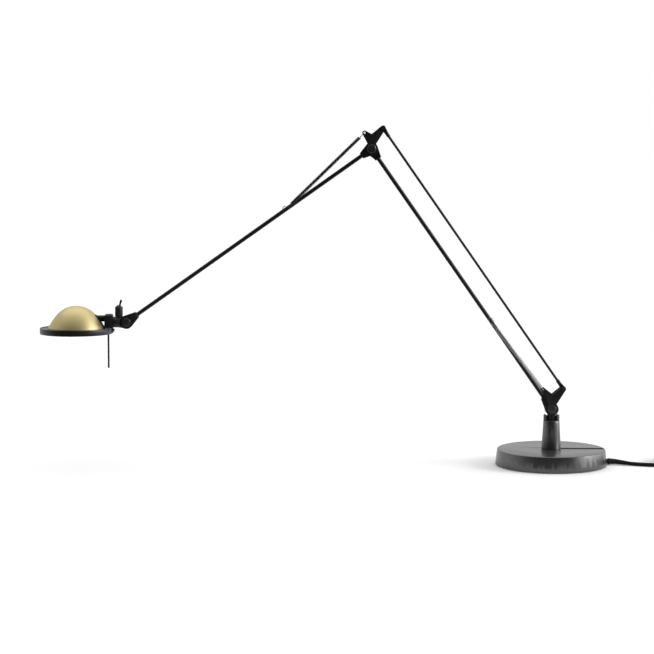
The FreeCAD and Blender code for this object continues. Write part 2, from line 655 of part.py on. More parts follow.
screw_heads = ring_of("screw_head", 2 * plate_screw_radius, plate_screw_radius / 2,
                      foot_height - plate_screw_radius / 2)
screw_threads = ring_of("screw_thread", plate_screw_radius,
                        plate_screw_length - plate_screw_radius, foot_height)
screws = [fuse(f"screw_{index}", head, thread)
          for index, (head, thread) in enumerate(zip(screw_heads, screw_threads))]
pad_relief = ring_of("pad_relief", 2 * plate_screw_radius + fit_gap, foot_height, 0)
keep("base_plate_screws", group("base_plate_screws", *screws))
foot_ring = turned("foot_pad", tube_profile(foot_outer, foot_inner, foot_height))
keep("foot_pad", cut("foot_pad", foot_ring, *pad_relief))

stem_floor = base_height - tail_length
stem_profile = [
    (tail_bore, 0),
    (tail_radius, 0),
    (tail_radius, tail_length),
    (stem_foot_radius, tail_length),
    (stem_top_radius, tail_length + stem_height),
    (stem_bore, tail_length + stem_height),
    (stem_bore, tail_length + stem_height - stem_bore_depth),
    (tail_bore, tail_length + stem_height - stem_bore_depth)]
keep("stem", turned("stem", stem_profile, z=stem_floor))
keep("stem_nut", turned("stem_nut", tube_profile(nut_radius, tail_radius + slide_gap, nut_height),
                        z=base_height - cover_top - nut_height))

bush_profile = [
    (spindle_radius + slide_gap, 0),
    (stem_bore - slide_gap, 0),
    (stem_bore - slide_gap, bush_length),
    (collar_radius, bush_length),
    (collar_radius, bush_length + collar_height),
    (collar_radius - collar_wall, bush_length + collar_height),
    (collar_radius - collar_wall, bush_length + flange_height),
    (spindle_radius + slide_gap, bush_length + flange_height)]
bush_blank = turned("swivel_bush", bush_profile, z=stem_top - bush_length)
collar_gap = box("collar_gap", collar_opening, 3 * collar_radius, collar_height,
                 -collar_opening / 2, -1.5 * collar_radius, stem_top + flange_height)
keep("swivel_bush", cut("swivel_bush", bush_blank, collar_gap))

gland_profile = [
    (0, 0),
    (gland_flange, 0),
    (gland_flange, cover_wall),
    (gland_radius - slide_gap, cover_wall),
    (gland_radius - slide_gap, gland_length),
    (0, gland_length)]
keep("cord_gland", turned("cord_gland", gland_profile, gland_reach - gland_length, 0,
                          cord_exit_height, ALONG_X))


# ---------------------------------------------------------------- swivelling yoke

shoulder = Spot(0, pivot_height)
yoke_bottom = stem_top + flange_height + slide_gap
cheek_outer = cheek_inner + cheek_thickness


def ear_plate(name, spot, hub, ear_reach, ear_angle, low, high):
    """The V-shaped plate that carries a spring on one ear and the tie rod on the other."""
    spring_ear = spot.facing(ear_angle).ahead(ear_reach)
    tie_ear = spot.facing(tie_angle).ahead(tie_reach)
    middle = spot.facing((ear_angle + tie_angle) / 2)
    web = middle.ahead(web_reach)
    blank = fuse(name,
                 across(f"{name}_hub", spot, hub, low, high),
                 link(f"{name}_neck", middle, neck_root, web_tip, web_reach, low, high),
                 link(f"{name}_spring_leg", spot.facing(ear_angle), leg_root, ear_tip, ear_reach,
                      low, high),
                 link(f"{name}_tie_leg", spot.facing(tie_angle), leg_root, tie_tip, tie_reach,
                      low, high),
                 link(f"{name}_spring_web", web.facing(heading(web, spring_ear)), web_tip, ear_tip,
                      distance(web, spring_ear), low, high),
                 link(f"{name}_tie_web", web.facing(heading(web, tie_ear)), web_tip, tie_tip,
                      distance(web, tie_ear), low, high))
    return cut(name, blank,
               across(f"{name}_hook_hole", spring_ear, hook_hole, low, high),
               across(f"{name}_tie_hole", tie_ear, tie_pin_radius + slide_gap, low, high),
               across(f"{name}_pin_hole", spot, pin_radius + slide_gap, low, high))


spindle_floor = stem_top - bush_length - spindle_end
yoke_profile = [
    (0, 0),
    (spindle_radius, 0),
    (spindle_radius, spindle_end - clip_height - slide_gap),
    (clip_groove, spindle_end - clip_height - slide_gap),
    (clip_groove, spindle_end - slide_gap),
    (spindle_radius, spindle_end - slide_gap),
    (spindle_radius, yoke_bottom - spindle_floor),
    (post_radius, yoke_bottom - spindle_floor),
    (post_radius, pivot_height - spindle_floor),
    (0, pivot_height - spindle_floor)]
yoke_post = turned("yoke_post", yoke_profile, z=spindle_floor)
yoke_slot = box("yoke_slot", 4 * yoke_hub, 2 * cheek_inner, 3 * yoke_hub, -2 * yoke_hub,
                -cheek_inner, pivot_height - yoke_floor)
yoke_trims = [box(f"yoke_trim_{index}", 4 * yoke_hub, post_radius, 2 * yoke_floor, -2 * yoke_hub,
                  side, pivot_height - yoke_floor)
              for index, side in enumerate((cheek_outer, -cheek_outer - post_radius))]
post_core = cut("yoke_core", yoke_post, yoke_slot, *yoke_trims)
pin_bore = across("yoke_pin_bore", shoulder, pin_radius + slide_gap, -cheek_outer, cheek_outer)
cheeks = [ear_plate(f"yoke_{side}", shoulder, yoke_hub, yoke_ear_reach, yoke_ear_angle, low, high)
          for side, low, high in (("rear", cheek_inner, cheek_outer),
                                  ("front", -cheek_outer, -cheek_inner))]
keep("swivel_yoke", cut("swivel_yoke", fuse("swivel_yoke", post_core, *cheeks), pin_bore))

keep("retaining_clip", turned("retaining_clip",
                              tube_profile(clip_radius, clip_groove + slide_gap, clip_height - slide_gap),
                              z=stem_top - bush_length - clip_height - slide_gap / 2))
keep("base_pivot_pin", across("base_pivot_pin", shoulder, pin_radius, -cheek_outer, cheek_outer))
pair_of_caps("base_pivot_caps", shoulder, cap_radius, cheek_outer, cap_height)


def tie_pin(name, spot):
    """The shouldered rivet that carries an eye of the tie rod between the ear plates."""
    middle = cheek_outer + tie_head_height
    eye = rod_eye_half + rod_eye_gap
    profile = [
        (0, 0),
        (tie_pin_head, 0),
        (tie_pin_head, tie_head_height),
        (tie_pin_radius, tie_head_height),
        (tie_pin_radius, middle - cheek_inner),
        (tie_pin_shoulder, middle - cheek_inner),
        (tie_pin_shoulder, middle - eye),
        (tie_pin_radius, middle - eye),
        (tie_pin_radius, middle + eye),
        (tie_pin_shoulder, middle + eye),
        (tie_pin_shoulder, middle + cheek_inner),
        (tie_pin_radius, middle + cheek_inner),
        (tie_pin_radius, 2 * middle - tie_head_height),
        (tie_pin_head, 2 * middle - tie_head_height),
        (tie_pin_head, 2 * middle),
        (0, 2 * middle)]
    return keep(name, turned(name, profile, spot.x, -middle, spot.z, ALONG_Y))


tie_foot = shoulder.facing(tie_angle).ahead(tie_reach)
tie_pin("yoke_tie_pin", tie_foot)


# ---------------------------------------------------------------- lower arm and tie rod

lower = shoulder.facing(lower_angle)
elbow = lower.ahead(lower_length)
lower_back = elbow.facing(lower_angle + 180)
upper = elbow.facing(upper_angle)
wrist = upper.ahead(upper_length)
upper_back = wrist.facing(upper_angle + 180)
slot_radius = knuckle_radius + sweep_gap


def fitting(name, spot, hub, reach, half, *tools):
    """An arm's end fitting: a teardrop with the pin's hole and a spigot in the arm's tube."""
    blank = teardrop(name, spot, hub, neck_half, reach, -half, half)
    pin_hole = across(f"{name}_pin_hole", spot, pin_radius + slide_gap, -half, half)
    spigot = along(f"{name}_spigot", spot, tube_radius - tube_wall - slide_gap, spigot_length, reach)
    return fuse(name, cut(name, blank, pin_hole, *tools), spigot)


def arm_tube(name, spot, start, length, stud):
    """An arm's tube, drilled for its spring's stud."""
    first = spot.ahead(start)
    profile = tube_profile(tube_radius, tube_radius - tube_wall, length)
    tube = turned(name, profile, first.x, 0, first.z, (Vector(0, 1, 0), 90 - spot.angle))
    drill = across(f"{name}_stud_hole", stud, stud_radius, -2 * tube_radius, 0)
    return keep(name, cut(name, tube, drill))


def spring_stud(name, spot):
    """A stud on the front of an arm's tube, with a head that keeps the spring's loop on."""
    head = 2 * spring_wire
    profile = [
        (0, 0),
        (stud_radius, 0),
        (stud_radius, stud_length),
        (stud_radius + spring_wire, stud_length),
        (stud_radius + spring_wire, stud_length + head),
        (0, stud_length + head)]
    stud = turned(name, profile, spot.x, -tube_radius + tube_wall, spot.z, (Vector(1, 0, 0), 90))
    return keep(name, stud)


keep("lower_base_fitting", fitting("lower_base_fitting", lower, knuckle_radius, base_neck,
                                   fitting_half))
lower_stud = lower.ahead(lower_stud_reach)
arm_tube("lower_tube", lower, base_neck, lower_length - base_neck - elbow_neck, lower_stud)
spring_stud("lower_spring_stud", lower_stud)
tongue_relief = across("tongue_relief", elbow, elbow_root, -2 * fitting_half, 2 * fitting_half)
elbow_tongue = teardrop("elbow_tongue", lower_back, knuckle_radius, neck_half, elbow_neck,
                        -tongue_half, tongue_half)
tongue_hole = across("tongue_hole", elbow, pin_radius + slide_gap, -tongue_half, tongue_half)
keep("lower_elbow_fitting", fuse("lower_elbow_fitting",
                                 fitting("lower_elbow_root", lower_back, knuckle_radius, elbow_neck,
                                         fitting_half, tongue_relief),
                                 cut("elbow_tongue", elbow_tongue, tongue_hole)))
pair_of_washers("base_friction_washers", shoulder, fitting_half, cheek_inner)

tie_rod_spot = tie_foot.facing(lower_angle)
tie_head = tie_rod_spot.ahead(lower_length).facing(lower_angle + 180)


def rod_end(name, spot):
    """An end of the tie rod: a flat eye and the sleeve that holds the rod."""
    eye = link(f"{name}_eye", spot, rod_eye_radius, rod_end_radius, rod_end_length / 2,
               -rod_eye_half, rod_eye_half)
    sleeve = along(f"{name}_sleeve", spot, rod_end_radius, rod_end_length / 2, rod_end_length / 2)
    bore = along(f"{name}_bore", spot, rod_radius + slide_gap, rod_end_length / 2,
                 rod_end_length * 2 / 3)
    eye_hole = across(f"{name}_eye_hole", spot, tie_pin_radius + rod_eye_gap, -rod_end_radius,
                      rod_end_radius)
    return cut(name, fuse(name, eye, sleeve), bore, eye_hole)


keep("tie_rod", along("tie_rod", tie_rod_spot, rod_radius, lower_length - rod_end_length * 4 / 3,
                      rod_end_length * 2 / 3))
keep("tie_rod_ends", group("tie_rod_ends", rod_end("rod_end_low", tie_rod_spot),
                           rod_end("rod_end_high", tie_head)))


# ---------------------------------------------------------------- elbow link

for side, low, high in (("rear", cheek_inner, cheek_outer), ("front", -cheek_outer, -cheek_inner)):
    name = f"{side}_link_plate"
    keep(name, ear_plate(name, elbow, link_hub, link_ear_reach, link_ear_angle, low, high))
keep("elbow_pin", across("elbow_pin", elbow, pin_radius, -cheek_outer, cheek_outer))
pair_of_caps("elbow_caps", elbow, cap_radius, cheek_outer, cap_height)
tie_pin("elbow_tie_pin", elbow.facing(tie_angle).ahead(tie_reach))


# ---------------------------------------------------------------- upper arm

fork_half = tongue_half + fork_gap
keep("upper_elbow_fork", fitting("upper_elbow_fork", upper, knuckle_radius, elbow_neck,
                                 fitting_half,
                                 across("fork_slot", elbow, elbow_root, -fork_half, fork_half)))
upper_stud = upper.ahead(upper_stud_reach)
arm_tube("upper_tube", upper, elbow_neck, upper_length - elbow_neck - wrist_neck, upper_stud)
spring_stud("upper_spring_stud", upper_stud)
pair_of_washers("elbow_friction_washers", elbow, fitting_half, cheek_inner)
wrist_hub = yoke_hub
keep("upper_wrist_fork", fitting("upper_wrist_fork", upper_back, wrist_hub, wrist_neck, wrist_half,
                                 across("wrist_slot_disc", wrist, wrist_root, -wrist_slot,
                                        wrist_slot)))
keep("wrist_pin", across("wrist_pin", wrist, pin_radius, -wrist_half, wrist_half))
pair_of_caps("wrist_caps", wrist, cap_radius, wrist_half, cap_height)


# ---------------------------------------------------------------- springs

def arc_points(start, heading, end):
    """The point halfway round the arc that leaves start along heading and ends at end."""
    chord = end - start
    sideways = chord - heading * chord.dot(heading)
    if sideways.Length < 1e-6:
        return None
    sideways.normalize()
    radius = chord.Length * chord.Length / (2 * chord.dot(sideways))
    middle = start + sideways * radius
    outward = (start - middle) + (end - middle)
    outward.normalize()
    return middle + outward * radius


def biarc(start, heading, end, arrival):
    """Two tangent arcs from one point and direction to another, as edges."""
    way = end - start
    both = heading + arrival
    spread = 2 * (1 - heading.dot(arrival))
    if spread < 1e-9:
        reach = way.dot(way) / (4 * way.dot(arrival))
    else:
        reach = (-way.dot(both) + math.sqrt(way.dot(both) ** 2 + spread * way.dot(way))) / spread
    joint = (start + heading * reach + end - arrival * reach) * 0.5
    edges = []
    for first, direction, last in ((start, heading, joint), (end, -arrival, joint)):
        middle = arc_points(first, direction, last)
        if middle is None:
            edges.append(Part.LineSegment(first, last).toShape())
        else:
            edges.append(Part.Arc(first, middle, last).toShape())
    return edges


def wire_through(stations):
    """A wire of biarcs through (point, direction) stations, straight where both directions agree."""
    edges = []
    for (start, heading), (end, arrival) in zip(stations, stations[1:]):
        way = (end - start).normalize()
        if (way - heading).Length < 1e-7 and (way - arrival).Length < 1e-7:
            edges.append(Part.LineSegment(start, end).toShape())
        else:
            edges.extend(biarc(start, heading, end, arrival))
    return Part.Wire(edges)


def tube_along(stations, radius):
    """A round solid along the stations' wire."""
    path = wire_through(stations)
    start, heading = stations[0]
    section = Part.Wire([Part.Circle(start, heading, radius).toShape()])
    solid = path.makePipeShell([section], True, False)
    return solid, path


def report_tube(name, solid, path, radius, step):
    """Print a tube's least gap to itself, and its volume over its section times its length."""
    points = path.discretize(Distance=step)
    skip = int(math.ceil(3 * math.pi * radius / step))
    least = min((a - b).Length for i, a in enumerate(points) for b in points[i + skip:])
    share = solid.Volume / (math.pi * radius * radius * path.Length)
    print(f"{name}: length {path.Length:.0f} mm, least gap {least - 2 * radius:.2f} mm, "
          f"volume share {share:.4f}")


def solid_feature(name, shape, placement=None):
    """A feature with a shape of its own, for what the sketch tools don't make."""
    feature = doc.addObject("Part::Feature", f"{name}_feature")
    feature.Shape = shape
    if placement:
        feature.Placement = placement
    return keep(name, feature)


def spring_placement(hook, stud):
    """The frame of a spring: its X runs from the hook's hole to the stud, in the springs' plane."""
    angle = math.degrees(math.atan2(float(stud.z - hook.z), float(stud.x - hook.x)))
    base = Vector(float(hook.x), -float(spring_plane), float(hook.z))
    return Placement(base, Rotation(Vector(0, -1, 0), angle))


def spring_pieces(name, hook, stud, turns, coil_start, loop):
    """A tension spring with its hook, and the loop on its stud, each a solid of its own.

    A loop is given by the radius of its ends, its straight sides and its middle from the stud.
    In the spring's own frame X runs along it, Y is the lamp's Y and Z completes the frame.
    """
    length = math.hypot(float(stud.x - hook.x), float(stud.z - hook.z))
    mean = float(spring_radius)
    wire = float(spring_wire)
    first = float(coil_start)
    last = length - float(coil_stop)
    pitch = (last - first) / turns
    forward = Vector(1, 0, 0)

    def coil_point(turn):
        angle = 2 * math.pi * turn
        return Vector(first + pitch * turn, -mean * math.cos(angle), mean * math.sin(angle))

    def coil_heading(turn):
        angle = 2 * math.pi * turn
        rate = 2 * math.pi * mean
        return Vector(pitch, rate * math.sin(angle), rate * math.cos(angle)).normalize()

    # The hook starts behind the ear, passes its hole and runs along the front to the first turn.
    back = first - float(fit_gap) - wire / 2
    stations = [(Vector(back, mean, 0), -forward), (Vector(mean, mean, 0), -forward),
                (Vector(0, 0, 0), Vector(0, -1, 0)), (Vector(mean, -mean, 0), forward),
                (Vector(first - mean / 2, -mean, 0), forward)]
    quarters = range(1, int(4 * turns) + 1)
    stations += [(coil_point(q / 4), coil_heading(q / 4)) for q in quarters]
    spring, path = tube_along(stations, wire)
    report_tube(name, spring, path, wire, wire)

    # The loop leaves the last turn, comes to the axis and runs round the stud.
    end_point = coil_point(turns) + coil_heading(turns) * float(fit_gap)
    ring, side, beyond, above = (float(number) for number in loop)
    near = Vector(length + beyond - side / 2, 0, -above)
    far = near + forward * side

    def loop_station(centre_of_end, degrees):
        angle = math.radians(degrees)
        point = centre_of_end + Vector(math.cos(angle), 0, math.sin(angle)) * ring
        return point, Vector(math.sin(angle), 0, -math.cos(angle))

    axis_point = Vector(last + mean, 0, 0)
    loop_stations = [(end_point, coil_heading(turns)), (axis_point, forward)]
    loop_stations += [loop_station(near, degrees) for degrees in (135, 90)]
    loop_stations += [loop_station(far, degrees) for degrees in (90, 0, -90)]
    loop_stations += [loop_station(near, degrees) for degrees in (-90, -150)]
    loop, loop_path = tube_along(loop_stations, wire)
    report_tube(f"{name}_loop", loop, loop_path, wire, wire / 2)
    frame = spring_placement(hook, stud)
    solid_feature(name, spring, frame)
    solid_feature(f"{name}_loop", loop, frame)


spring_pieces("lower_spring", shoulder.facing(yoke_ear_angle).ahead(yoke_ear_reach), lower_stud,
              float(lower_turns), lower_coil_start,
              (lower_loop_radius, lower_loop_straight, lower_loop_along, lower_loop_across))
spring_pieces("upper_spring", elbow.facing(link_ear_angle).ahead(link_ear_reach), upper_stud,
              float(upper_turns), upper_coil_start,
              (upper_loop_radius, upper_loop_straight, upper_loop_along, upper_loop_across))


# ---------------------------------------------------------------- head

body_end = wrist.x - body_start
switch_x = wrist.x - switch_offset
body_bar = cylinder("body_bar", body_radius, body_start - slot_radius / 2, body_end, 0, wrist.z,
                    ALONG_X)
body_neck = cylinder("body_neck", housing_neck, housing_bottom + fit_gap, switch_x, 0, wrist.z)
housing_profile = [
    (0, 0),
    (housing_radius, 0),
    (housing_radius, housing_top - housing_bottom - cap_bevel),
    (housing_radius - cap_bevel, housing_top - housing_bottom),
    (0, housing_top - housing_bottom)]
housing = turned("switch_housing", housing_profile, switch_x, 0, wrist.z + housing_bottom)
body_sweep = across("body_sweep", wrist, slot_radius + slide_gap, -2 * body_radius, 2 * body_radius)
body_relief = teardrop("body_relief", wrist.facing(upper_angle + 180 + wrist_limit),
                       wrist_hub + fit_gap, neck_half + fit_gap, wrist_neck + fit_gap,
                       -2 * body_radius, 2 * body_radius)
body_shell = cut("body_shell", fuse("body_shell", body_bar, body_neck, housing), body_sweep,
                 body_relief)
head_tongue = teardrop("head_tongue", wrist.facing(as_value(180)), head_hub, body_radius - fit_gap,
                       slot_radius + body_radius / 4, -head_tongue_half, head_tongue_half)
head_tongue_hole = across("head_tongue_hole", wrist, pin_radius + slide_gap, -head_tongue_half,
                          head_tongue_half)
roll_bore = cylinder("roll_bore", shaft_radius + slide_gap, shaft_length + fit_gap, body_end, 0,
                     wrist.z, ALONG_X)
switch_bore = cylinder("switch_bore", switch_radius + slide_gap, switch_depth,
                       switch_x, 0, wrist.z + housing_top - switch_depth)
keep("head_body", cut("head_body",
                      fuse("head_body", body_shell,
                           cut("head_tongue", head_tongue, head_tongue_hole)),
                      roll_bore, switch_bore))
pair_of_washers("wrist_friction_washers", wrist, head_tongue_half, wrist_slot)

switch_profile = [
    (0, 0),
    (switch_radius, 0),
    (switch_radius, switch_depth),
    (switch_cone_radius, switch_depth + switch_cone),
    (0, switch_depth + switch_cone)]
switch_floor = wrist.z + housing_top - switch_depth
lever_cut = box("lever_cut", 2 * lever_slot, 2 * lever_slot_half, switch_depth,
                switch_x - lever_slot, -lever_slot_half, wrist.z + lever_pivot - 2 * lever_thin)
lever_spot = Spot(switch_x, wrist.z + lever_pivot)
lever_bore = across("lever_bore", lever_spot, lever_thin + slide_gap, -lever_pin_half - fit_gap,
                    lever_pin_half + fit_gap)
keep("switch_body", cut("switch_body",
                        turned("switch_body", switch_profile, switch_x, 0, switch_floor), lever_cut,
                        lever_bore))
lever_profile = [
    (0, 0),
    (lever_thin, 0),
    (lever_thick, lever_length - lever_thick, -lever_thick),
    (0, lever_length)]
lever_stick = turned("switch_lever", lever_profile, lever_spot.x, 0, lever_spot.z,
                     (Vector(0, 1, 0), lever_lean))
keep("switch_lever", fuse("switch_lever", lever_stick,
                          across("lever_pin", lever_spot, lever_thin, -lever_pin_half,
                                 lever_pin_half)))


# ---------------------------------------------------------------- reflector

block_right = body_end - block_gap
block_left = block_right - block_length
dome_x = wrist.x - dome_reach
rim_z = wrist.z - rim_drop
lamp_z = wrist.z + lamp_rise
tab_left = dome_x + ring_outer + slide_gap

block_blank = box("block_blank", block_length, block_width, block_above + rim_drop,
                  block_left, -block_width / 2, wrist.z - rim_drop)
doc.recompute()
block_edges = [index + 1 for index, edge in enumerate(block_blank.Shape.Edges)
               if abs(edge.CenterOfMass.z - block_blank.Shape.BoundBox.ZMax) < 1e-6]
block_chamfer = doc.addObject("Part::Chamfer", "block_chamfer")
block_chamfer.Base = block_blank
block_chamfer.Edges = [(index, float(block_bevel), float(block_bevel)) for index in block_edges]
tab = box("ring_tab", tab_thickness, tab_width, ring_height - ring_skin, tab_left, -tab_width / 2,
          rim_z - ring_height + ring_skin / 2)
tab_root = box("ring_tab_root", tab_thickness, tab_width, ring_skin, tab_left, -tab_width / 2,
               wrist.z - rim_drop - ring_skin / 2)
shaft_hole = cylinder("shaft_hole", shaft_radius + slide_gap, shaft_seat, block_right - shaft_seat,
                      0, wrist.z, ALONG_X)
lamp_seat = cylinder("lamp_seat", lamp_tube_radius + slide_gap, lamp_tube_seat, block_left, 0,
                     lamp_z, ALONG_X)
tab_hole = cylinder("tab_hole", ring_screw_radius + slide_gap, 3 * tab_thickness,
                    tab_left - tab_thickness, 0, wrist.z - ring_screw_drop, ALONG_X)
keep("holder_block", cut("holder_block", fuse("holder_block", block_chamfer, tab, tab_root),
                         shaft_hole, lamp_seat, tab_hole))
keep("roll_shaft", cylinder("roll_shaft", shaft_radius, shaft_length + block_gap + shaft_seat,
                            block_right - shaft_seat, 0, wrist.z, ALONG_X))

holder_x = dome_x + holder_reach - holder_length
tube_end = holder_x + holder_length - lamp_tube_seat
lamp_tube = turned("lamp_tube",
                   tube_profile(lamp_tube_radius, lamp_tube_radius - lamp_tube_wall,
                                block_left + lamp_tube_seat - tube_end),
                   tube_end, 0, lamp_z, ALONG_X)
keep("lamp_tube", lamp_tube)


# The crown's arc is level at the apex, and the flank's arc leaves it without a corner.
crown_drop = dome_height - shoulder_height
crown_curve = (shoulder_radius * shoulder_radius + crown_drop * crown_drop) / (2 * crown_drop)
lean_out = shoulder_radius / crown_curve
lean_up = (crown_curve - crown_drop) / crown_curve
flank_out = rim_radius - shoulder_radius
flank_curve = ((flank_out * flank_out + shoulder_height * shoulder_height)
               / (2 * (shoulder_height * lean_up - flank_out * lean_out)))


def shoulder_point(inset):
    return (shoulder_radius - inset * lean_out,
            ring_recess + shoulder_height - inset * lean_up)


def shell_profile(outer, wall):
    """A wall that follows the dome's outline, with its outer side inset from it."""
    inner = outer + wall
    return [
        (rim_radius - inner, 0),
        (rim_radius - inner, ring_recess, -(flank_curve - inner)),
        (*shoulder_point(inner), -(crown_curve - inner)),
        (0, ring_recess + dome_height - inner),
        (0, ring_recess + dome_height - outer, crown_curve - outer),
        (*shoulder_point(outer), flank_curve - outer),
        (rim_radius - outer, ring_recess),
        (rim_radius - outer, 0)]


def shell_with_hole(name, inset, wall, clearance):
    blank = turned(name, shell_profile(inset, wall), dome_x, 0, rim_z - ring_recess)
    return cut(name, blank, cylinder(f"{name}_tube_hole", lamp_tube_radius + clearance,
                                     dome_reach, dome_x, 0, lamp_z, ALONG_X))


keep("dome", shell_with_hole("dome", as_value(0), dome_wall, slide_gap))
keep("inner_reflector", shell_with_hole("inner_reflector", dome_wall + liner_gap, reflector_wall,
                                        fit_gap))

ring_flat = ring_height - ring_recess
ring_profile = [
    (ring_inner, ring_flat - ring_skin - ring_lip),
    (ring_inner + ring_skin, ring_flat - ring_skin - ring_lip),
    (ring_inner + ring_skin, ring_flat - ring_skin),
    (ring_outer - ring_skin, ring_flat - ring_skin),
    (ring_outer - ring_skin, 0),
    (ring_outer, 0),
    (ring_outer, ring_height),
    (ring_outer - ring_recess, ring_height),
    (ring_outer - ring_recess, ring_flat),
    (ring_inner, ring_flat)]
ring_blank = turned("shade_ring", ring_profile, dome_x, 0, rim_z - ring_height)
ring_thread = cylinder("ring_thread", ring_screw_radius, 2 * ring_screw_length,
                       tab_left - ring_screw_length, 0, wrist.z - ring_screw_drop, ALONG_X)
keep("shade_ring", cut("shade_ring", ring_blank, ring_thread))

screw_profile = [
    (0, 0),
    (ring_screw_radius, 0),
    (ring_screw_radius, ring_screw_length),
    (ring_screw_head, ring_screw_length),
    (ring_screw_head, ring_screw_length + ring_screw_head_height),
    (0, ring_screw_length + ring_screw_head_height)]
keep("ring_screw", turned("ring_screw", screw_profile, tab_left + tab_thickness - ring_screw_length,
                          0, wrist.z - ring_screw_drop, ALONG_X))

handle_profile = [
    (0, 0, -handle_radius),
    (handle_radius, handle_radius),
    (handle_radius, handle_length),
    (0, handle_length)]
keep("handle_rod", turned("handle_rod", handle_profile, dome_x + handle_reach, 0,
                          rim_z - ring_recess - ring_skin - handle_length))

bulb_right = holder_x - bulb_gap


def pair_of_bulb_pins(name, radius):
    """Two cylinders on the lines of the bulb's pins."""
    return [cylinder(f"{name}_{index}", radius, bulb_gap + bulb_pin_depth, bulb_right,
                     side * bulb_pin_spacing / 2, lamp_z, ALONG_X)
            for index, side in enumerate((1, -1))]


keep("lamp_holder", cut("lamp_holder",
                        cylinder("lamp_holder_blank", holder_radius, holder_length, holder_x, 0,
                                 lamp_z, ALONG_X),
                        cylinder("lamp_holder_bore", lamp_tube_radius + slide_gap,
                                 lamp_tube_seat, tube_end, 0, lamp_z, ALONG_X),
                        *pair_of_bulb_pins("pin_hole", bulb_pin_radius + slide_gap)))
bulb_profile = [
    (0, 0, -bulb_radius),
    (bulb_radius, bulb_radius),
    (bulb_radius, bulb_length),
    (0, bulb_length)]
keep("bulb", turned("bulb", bulb_profile, bulb_right - bulb_length, 0, lamp_z, ALONG_X))
keep("bulb_pins", group("bulb_pins", *pair_of_bulb_pins("bulb_pin", bulb_pin_radius)))

strap_profile = [
    (rim_radius + strap_gap + strap_wall, 0),
    (rim_radius + strap_gap + strap_wall, ring_recess, -(flank_curve + strap_gap + strap_wall)),
    (*shoulder_point(-strap_gap - strap_wall),),
    (*shoulder_point(-strap_gap), flank_curve + strap_gap),
    (rim_radius + strap_gap, ring_recess),
    (rim_radius + strap_gap, 0)]
strap_blank = turned("dome_strap", strap_profile, dome_x, 0, rim_z - ring_recess,
                     sweep=strap_width)
keep("dome_strap", cut("dome_strap", strap_blank,
                       cylinder("strap_tube_hole", lamp_tube_radius + slide_gap, dome_reach,
                                dome_x, 0, lamp_z, ALONG_X)))


# ---------------------------------------------------------------- mains lead

def rounded_stations(points, shares=0.45):
    """Straight runs joined by arcs: each arc is as large as its two runs allow."""
    stations = []
    first = (points[1] - points[0]).normalize()
    stations.append((points[0], first))
    for before, corner, after in zip(points, points[1:], points[2:]):
        run_in = corner - before
        run_out = after - corner
        reach = shares * min(run_in.Length, run_out.Length)
        arrive = run_in.normalize()
        leave = run_out.normalize()
        turn = arrive.getAngle(leave)
        print(f"  bend radius {reach / math.tan(turn / 2):.0f} mm")
        stations.append((corner - arrive * reach, arrive))
        stations.append((corner + leave * reach, leave))
    stations.append((points[-1], (points[-1] - points[-2]).normalize()))
    return stations


cord = float(cord_radius)
rest = float(cord_rest)
coil_middle = Vector(float(coil_centre_x), float(coil_centre_y), 0)
half_span = float(coil_spacing) * float(coil_layer_turns) / 2
coil_outer = float(coil_mean) + half_span
coil_inner = float(coil_mean) - half_span
coil_start_y = float(coil_centre_y) - coil_outer
lead_end = Vector(coil_middle.x - 2 * cord, coil_start_y, rest)

print("cord_lead:")
lead_route = [
    Vector(float(gland_reach), 0, float(cord_exit_height)),
    Vector(92, 0, float(cord_exit_height)),
    Vector(103, -2.4, 4.2),
    Vector(120, -9.4, rest),
    Vector(141, -18, rest),
    Vector(168, coil_start_y, rest),
    lead_end]
lead, lead_path = tube_along(rounded_stations(lead_route), cord)
solid_feature("cord_lead", lead)
report_tube("cord_lead", lead, lead_path, cord, cord)


def smooth(value, low, high):
    share = min(max((value - low) / (high - low), 0), 1)
    return share * share * (3 - 2 * share)


def lead_coil_point(turn):
    """The coil's line: inwards on the table, up a layer in half a turn, and outwards again."""
    layer = float(coil_layer_turns)
    step = float(coil_spacing)
    climb = layer + 0.5
    top = rest + step
    if turn < layer:
        radius = coil_outer - step * turn
        height = rest
    elif turn < climb:
        share = (turn - layer) / 0.5
        radius = coil_inner - 0.25 * step * math.sin(math.pi * share)
        height = rest + step * smooth(share, 0, 1)
    else:
        radius = coil_inner + step * (turn - climb)
        height = top
    leave = climb + layer - 0.75
    radius += 1.5 * step * smooth(turn, leave - 0.25, leave + 0.25)
    height += (float(plug_height) / 2 - top) * smooth(turn, leave, leave + 0.5)
    angle = 2 * math.pi * (turn - 0.25)
    return coil_middle + Vector(radius * math.cos(angle), radius * math.sin(angle), height)


def lead_coil_heading(turn):
    nudge = 1e-4
    return (lead_coil_point(turn + nudge) - lead_coil_point(turn - nudge)).normalize()


coil_turns = 2 * float(coil_layer_turns) + 0.25
quarter_count = int(round(4 * coil_turns))
start_heading = Vector(1, 0, 0)
end_heading = Vector(0, 1, 0)
last_point = lead_coil_point(coil_turns)
coil_stations = [(lead_end, start_heading), (lead_coil_point(0), start_heading)]
coil_stations += [(lead_coil_point(q / 4), lead_coil_heading(q / 4)) for q in range(1, quarter_count)]
coil_end = last_point + end_heading * float(plug_reach)
coil_stations += [(last_point, end_heading), (coil_end, end_heading)]
coil, coil_path = tube_along(coil_stations, cord)
solid_feature("cord_coil", coil)
report_tube("cord_coil", coil, coil_path, cord, cord / 2)
print(f"mains lead: {lead_path.Length + coil_path.Length:.0f} mm")

